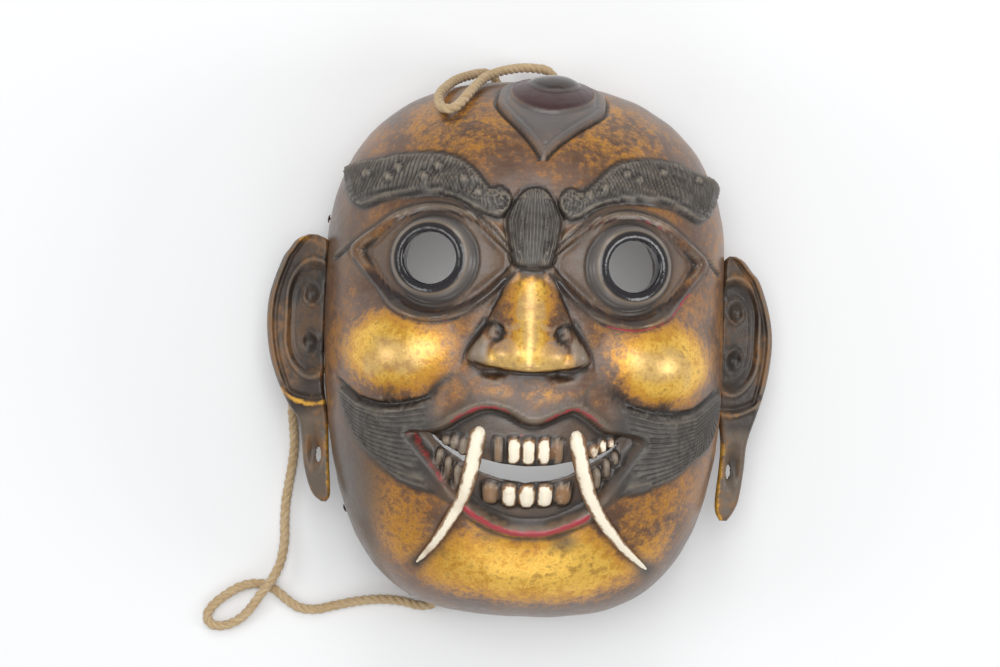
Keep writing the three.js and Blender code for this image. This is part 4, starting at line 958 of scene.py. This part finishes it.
# Ears: swept back from the head, with a rolled rim, a bowl with pits, and a long slotted lobe
earSet = {
    "rootX": 118.0, "rootZ": 44.0, "thick": 11.0, "sweep": 0.32, "columns": 44, "rows": 150, "edgeRound": 3.2,
    "levels": [-102, -60, -44, 60], "thickShare": [0.62, 0.72, 0.9, 1.0],
    "bowl": (129.0, 10.0), "bowlSize": (15.5, 34.0), "bowlDeep": 2.6, "bowlRim": 0.9, "bowlLine": 0.7,
    "pitX": 130.0, "pits": [(25.0, -1), (-5.0, 1)], "pitSize": (4.4, 5.6), "pitDeep": 2.6, "pitCurl": 1.3,
    "rimRoll": 1.3, "rimCut": 1.5, "bandRise": 1.0, "bandCut": 1.5,
    "scoopSize": (6.2, 17.0), "scoopDeep": 3.4, "slotSize": (1.7, 4.6), "slotNear": 7.0,
    # edges run down the ear: height, inner edge, outer edge
    "left": {"side": -1, "band": -42.0, "gold": 1.15, "slot": (-121.8, -73), "edges": [
        (61.3, -128, -134), (58, -121.5, -141), (52, -120.5, -145.5), (45, -120.8, -149.8),
        (24, -121.3, -156.4), (5, -121.4, -157.4), (-14, -121, -154.6), (-31, -120.2, -148.4),
        (-43, -118, -141.8), (-53, -116.6, -135), (-66, -115.8, -132.6), (-80, -114.8, -130.6),
        (-92, -113.8, -127), (-98, -113.8, -123.6), (-101.4, -115.8, -119)]},
    "right": {"side": 1, "band": -38.5, "gold": 0.7, "slot": (129.6, -73), "edges": [
        (59, 124.5, 129), (56, 121.5, 134.4), (50, 121, 139.5), (43, 121, 145.2), (24, 121.4, 152),
        (5, 121.5, 154.5), (-18, 121.2, 152), (-36, 121, 147), (-48, 123, 143), (-58, 124, 140.6),
        (-72, 123.5, 139.6), (-90, 122, 137.2), (-98, 122.6, 134), (-103.3, 125.4, 130.2)]},
}


def earObject(name, shape):
    edges = curveThrough(shape["edges"], 6)
    slotX, slotY = shape["slot"]
    bm = bmesh.new()
    layers = {key: bm.verts.layers.float.new(key) for key in ("gilt", "paintedShade", "wearAndHighlight")}
    bmesh.ops.create_grid(bm, x_segments=earSet["columns"], y_segments=earSet["rows"], size=1.0)
    ends = [(e, e.verts[0].co.x, e.verts[1].co.x) for e in bm.edges]
    nearRims = [e for e, x0, x1 in ends if abs(x0 + x1) / 2 > 0.9 and abs(x0 - x1) > 0.01]
    bmesh.ops.subdivide_edges(bm, edges=nearRims, cuts=1)
    sheets = [bm.verts[:]]
    copy = bmesh.ops.duplicate(bm, geom=bm.verts[:] + bm.edges[:] + bm.faces[:])["geom"]
    sheets.append([g for g in copy if isinstance(g, bmesh.types.BMVert)])
    for sheet, facing in zip(sheets, (1, -1)):
        a, b = np.array([v.co[:2] for v in sheet]).T
        steps = np.linspace(0, 1, len(edges))
        y, inner, outer = [np.interp((1 - b) / 2, steps, edges[:, i]) for i in range(3)]
        x = inner + (outer - inner) * (a + 1) / 2
        out = np.abs(x)
        rimGap = np.abs(x - outer)
        endGap = np.minimum(np.abs(y - edges[0, 0]), np.abs(y - edges[-1, 0])) + 0.3
        edgeGap = np.minimum(np.minimum(rimGap, np.abs(x - inner)), endGap)
        roundOff = roundTop(1 - np.clip(edgeGap / earSet["edgeRound"], 0, 1))
        half = earSet["thick"] / 2 * np.interp(y, earSet["levels"], earSet["thickShare"]) * roundOff
        bowl = oval(out, y, earSet["bowl"], *earSet["bowlSize"]) + 0.05 * np.sin(y / 6.5)
        lift = earSet["bowlRim"] * bell(bowl - 1.1, 0.07) - earSet["bowlLine"] * bell(bowl - 0.74, 0.05)
        lift -= earSet["bowlDeep"] * smoothStep(1.04 - bowl, 0, 0.16)
        for pitY, curlWay in earSet["pits"]:
            pit = oval(out, y, (earSet["pitX"], pitY), *earSet["pitSize"])
            lift -= earSet["pitDeep"] * bump(pit / 1.25)
            lift += earSet["pitCurl"] * bell(pit - 1.2, 0.2) * smoothStep(curlWay * (y - pitY), -1, 3)
        overBand = y - shape["band"]
        lift += earSet["rimRoll"] * bell(rimGap - 2.2, 1.9) * smoothStep(overBand, 0, 10)
        lift -= earSet["rimCut"] * bell(rimGap - 5.4, 1.1) * smoothStep(overBand, 3, 14)
        band = overBand - 0.18 * (out - 130) - 0.02 * (out - 132) ** 2
        lift += earSet["bandRise"] * bell(band, 1.9) - earSet["bandCut"] * bell(band - 3.4, 1.5)
        scoop = oval(x, y, (slotX + shape["side"] * 2.6, slotY + 3), *earSet["scoopSize"])
        lift -= earSet["scoopDeep"] * bump(scoop)
        lift = lift * roundOff if facing > 0 else np.zeros(x.shape)
        z = earSet["rootZ"] + earSet["thick"] / 2 - earSet["sweep"] * (out - earSet["rootX"])
        z += facing * half + lift
        for v, p in zip(sheet, np.stack([x, y, z], 1)):
            v.co = Vector(p * mm)
        gilt = shape["gold"] * (bell(band, 2.4) + 0.5 * smoothStep(y, 47, 58))
        gilt += 0.8 * bell(rimGap, 2.0) * smoothStep(y, -30, -10) * smoothStep(40 - y, 0, 20)
        gilt += 0.8 * bell(x - inner, 2.6) * smoothStep(-y, 48, 60)
        gilt += 0.35 * smoothStep(-y, 44, 54) + 0.25 * bell(bowl - 1.1, 0.09)
        # raised parts paler, wear with a painted highlight; sunk parts darker, painted shade
        wearAndHighlight = smoothStep(lift, 0.2, 1.2) + 0.7 * smoothStep(-y, 42, 52) * (facing > 0)
        marks = {"gilt": gilt * (facing > 0), "paintedShade": 0.8 * smoothStep(-lift, 0.5, 3.4), "wearAndHighlight": wearAndHighlight}
        for key, layer in layers.items():
            for v, value in zip(sheet, marks[key]):
                v[layer] = float(value)
    middles = [(f, f.calc_center_median() / mm) for f in bm.faces]
    pierced = [f for f, c in middles if oval(c.x, c.y, shape["slot"], *earSet["slotSize"]) < 1]
    bmesh.ops.delete(bm, geom=pierced, context="FACES")
    bmesh.ops.remove_doubles(bm, verts=bm.verts[:], dist=0.00001)
    around = [e for e in bm.edges if e.is_boundary and
              math.hypot(e.verts[0].co.x / mm - slotX, e.verts[0].co.y / mm - slotY) < earSet["slotNear"]]
    bmesh.ops.bridge_loops(bm, edges=around)
    bmesh.ops.holes_fill(bm, edges=[e for e in bm.edges if e.is_boundary], sides=0)
    print(name, "open edges", sum(e.is_boundary for e in bm.edges))
    return makeObject(name, bm)


# Smoked wood of the ears: dark brown satin with gold left on the rims
earFinish = {
    "name": "smoked wood with worn gilding", "base": "#2d2119",
    "coat": 0.1, "coatRough": 0.22, "stretched": {},
    "noises": {"broad": (40.0, 5.0), "fine": (230.0, 6.0)},
    "marks": ["gilt", "paintedShade", "wearAndHighlight"],
    "layers": [
        ({"broad": 1.0}, 0.36, 0.66, 1.0, "#52402f"),
        ({"fine": 1.0}, 0.5, 0.66, 0.8, "#2a1f18"),
        # raised parts paler: wear with a painted highlight
        ({"wearAndHighlight": 1.0}, 0.1, 1.1, 0.4, "#96836c"),
        ({"wearAndHighlight": 0.3, "broad": 2.4, "fine": 1.6}, 2.0, 2.5, 0.75, "#7d5730"),
        ({"gilt": 1.0, "fine": 1.4}, 1.2, 1.8, 0.9, "#80582a"),
        ({"gilt": 1.0, "fine": 2.0}, 1.7, 2.3, 1.0, "#d2a040"),
        # painted shade in the bowl, the pits and the scoop
        ({"paintedShade": 1.0}, 0.0, 1.0, 0.72, "#17110d"),
    ],
    "rough": (0.28, {"fine": 0.34}),
    "metal": ({"gilt": 1.0, "fine": 1.4}, 1.3, 1.9, 0.5),
    "bumps": {"fine": (0.45, 0.001)},
}
ears = []
for key in ("left", "right"):
    ear = earObject("ear" + key.capitalize(), earSet[key])
    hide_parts("ear_" + key)
    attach(ear, "root")
    ears.append(ear)

for finish, pieces in ((faceFinish, [maskFace]), (earFinish, ears)):
    material, tree, shader = newMaterial(finish["name"])
    where = addNode(tree, "ShaderNodeTexCoord").outputs["Object"]
    sources = {}
    for key, (scale, detail) in finish["stretched"].items():
        along = addNode(tree, "ShaderNodeMapping", None, {"Vector": where, "Scale": scale})
        sources[key] = addNode(tree, "ShaderNodeTexNoise", None,
                               {"Vector": along.outputs[0], "Scale": 1.0, "Detail": detail}).outputs[0]
    for key, (scale, detail) in finish["noises"].items():
        sources[key] = addNode(tree, "ShaderNodeTexNoise", None,
                               {"Vector": where, "Scale": scale, "Detail": detail}).outputs[0]
    for key in finish["marks"]:
        sources[key] = addNode(tree, "ShaderNodeAttribute", {"attribute_name": key}).outputs["Fac"]
    skin = colour(finish["base"])
    for mix, low, high, most, tone in finish["layers"] + [finish["metal"] + (None,)]:
        share = 0.0
        for key, factor in mix.items():
            share = addNode(tree, "ShaderNodeMath", {"operation": "MULTIPLY_ADD"},
                            {0: sources[key], 1: factor, 2: share}).outputs[0]
        share = addNode(tree, "ShaderNodeMapRange", {"interpolation_type": "SMOOTHSTEP"},
                        {"Value": share, "From Min": low, "From Max": high, "To Max": most}).outputs[0]
        if tone:
            skin = addNode(tree, "ShaderNodeMix", {"data_type": "RGBA"},
                           {0: share, 6: skin, 7: colour(tone)}).outputs[2]
    tree.links.new(skin, shader.inputs["Base Color"])
    tree.links.new(share, shader.inputs["Metallic"])   # the last layer is the metal of the leaf
    rough, mix = finish["rough"]
    for key, factor in mix.items():
        rough = addNode(tree, "ShaderNodeMath", {"operation": "MULTIPLY_ADD"},
                        {0: sources[key], 1: factor, 2: rough}).outputs[0]
    tree.links.new(rough, shader.inputs["Roughness"])
    bumps = {}
    for key, (strength, depth) in finish["bumps"].items():
        node = addNode(tree, "ShaderNodeBump", None,
                       {"Height": sources[key], "Strength": strength, "Distance": depth, **bumps})
        bumps = {"Normal": node.outputs[0]}
    tree.links.new(bumps["Normal"], shader.inputs["Normal"])
    shader.inputs["Coat Weight"].default_value = finish["coat"]
    shader.inputs["Coat Roughness"].default_value = finish["coatRough"]
    for piece in pieces:
        piece.data.materials.append(material)


# Hand-forged nails round the wall: a low dome with a battered edge, on a shank that runs into the wood
nailSet = {"bearings": (166, 234.3, 252, 271.4, 290.3, 14.7), "z": 20.0, "gap": 1.9, "head": 2.6, "dome": 1.1,
           "shank": 0.8, "depth": 7.0, "sides": 20}
head, dome, shank, depth = [nailSet[key] for key in ("head", "dome", "shank", "depth")]
nailOutline = [(0, dome), (head * 0.35, dome * 0.95), (head * 0.7, dome * 0.72), (head * 0.92, dome * 0.4),
               (head, dome * 0.1), (head * 0.96, 0), (shank, 0), (shank * 0.95, -depth * 0.6), (0, -depth)]
ironMaterial, tree, shader = newMaterial("rusted iron")
where = addNode(tree, "ShaderNodeTexCoord").outputs["Object"]
rust = addNode(tree, "ShaderNodeTexNoise", None, {"Vector": where, "Scale": 900.0, "Detail": 4.0}).outputs[0]
patchy = addNode(tree, "ShaderNodeMapRange", None, {"Value": rust, "From Min": 0.4, "From Max": 0.65})
rusted = addNode(tree, "ShaderNodeMix", {"data_type": "RGBA"},
                 {0: patchy.outputs[0], 6: colour("#2a2320"), 7: colour("#5d3b26")})
tree.links.new(rusted.outputs[2], shader.inputs["Base Color"])
pitted = addNode(tree, "ShaderNodeBump", None, {"Height": rust, "Strength": 0.5, "Distance": 0.0004})
tree.links.new(pitted.outputs[0], shader.inputs["Normal"])
shader.inputs["Roughness"].default_value = 0.6
shader.inputs["Metallic"].default_value = 0.6


def wallAt(angle):   # a point of the outer wall at the nails' height
    reach = float(outlineReach(math.cos(angle), math.sin(angle)))
    jaw = headSet["jawShift"] * float(smoothStep(-reach * math.sin(angle), 0, 150))
    x, y = reach * math.cos(angle) + jaw, reach * math.sin(angle)
    down = (headSet["widestZ"] - nailSet["z"]) / headSet["wallHeight"]
    k = 1 - headSet["wallLean"] * down ** 2 / math.hypot(x, y)
    return Vector((x * k, y * k + headSet["centreY"], nailSet["z"]))


for number, bearing in enumerate(nailSet["bearings"], 1):
    angle = math.radians(bearing)
    at = wallAt(angle)
    outward = (wallAt(angle + 0.02) - at).cross(Vector((0, 0, 1))).normalized()
    bm = bmesh.new()
    verts = [bm.verts.new((r * mm, 0, h * mm)) for r, h in nailOutline]
    edges = [bm.edges.new(pair) for pair in zip(verts[:-1], verts[1:])]
    bmesh.ops.spin(bm, geom=verts + edges, cent=(0, 0, 0), axis=(0, 0, 1), angle=math.tau,
                   steps=nailSet["sides"], use_merge=True)
    bmesh.ops.remove_doubles(bm, verts=bm.verts[:], dist=1e-6)
    stand = outward.to_track_quat("Z", "Y").to_matrix().to_4x4()
    seat = Matrix.Translation((at + outward * nailSet["gap"]) * mm) @ stand
    bmesh.ops.transform(bm, matrix=seat, verts=bm.verts[:])
    nail = makeObject("rimNail%d" % number, bm)
    nail.data.materials.append(ironMaterial)
    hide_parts("rim_nail_%d" % number)
    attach(nail, "root")


# Pale studio: a white floor, a broad soft light from above and weaker ones at the sides
studioSet = {"floor": "#e9eaeb", "floorHalf": 3.0, "sky": 0.42}
bm = bmesh.new()
bmesh.ops.create_grid(bm, x_segments=8, y_segments=8, size=studioSet["floorHalf"])
floor = makeObject("floor", bm)
floorMaterial, tree, shader = newMaterial("white paper")
shader.inputs["Base Color"].default_value = colour(studioSet["floor"])
shader.inputs["Roughness"].default_value = 0.9
floor.data.materials.append(floorMaterial)

lights = [   # place and aim in metres, size in metres, watts
    ("above", (-0.05, 0.25, 2.2), (0, 0, 0.05), 1.3, 22),
    ("crown", (0.0, 1.35, 1.45), (0, 0, 0.08), 0.9, 9),
    ("left", (-1.3, -0.1, 0.9), (0, 0, 0.08), 0.5, 3.4),
    ("right", (1.3, -0.1, 0.9), (0, 0, 0.08), 0.5, 5),
    ("below", (0.0, -1.3, 0.9), (0, 0, 0.08), 0.8, 3),
    ("inside", (0.0, -0.03, 0.095), (0, -0.03, 0), 0.09, 0.074),
]
for name, place, aim, size, watts in lights:
    lamp = bpy.data.objects.new(name, bpy.data.lights.new(name, "AREA"))
    lamp.data.size = size
    lamp.data.energy = watts
    lamp.location = place
    lamp.rotation_euler = (Vector(aim) - Vector(place)).to_track_quat("-Z", "Y").to_euler()
    lamp.visible_camera = False
    scene.collection.objects.link(lamp)
world = bpy.data.worlds.new("studio")
world.use_nodes = True
world.node_tree.nodes["Background"].inputs["Color"].default_value = (1, 1, 1, 1)
world.node_tree.nodes["Background"].inputs["Strength"].default_value = studioSet["sky"]
scene.world = world
scene.view_settings.view_transform = "Standard"
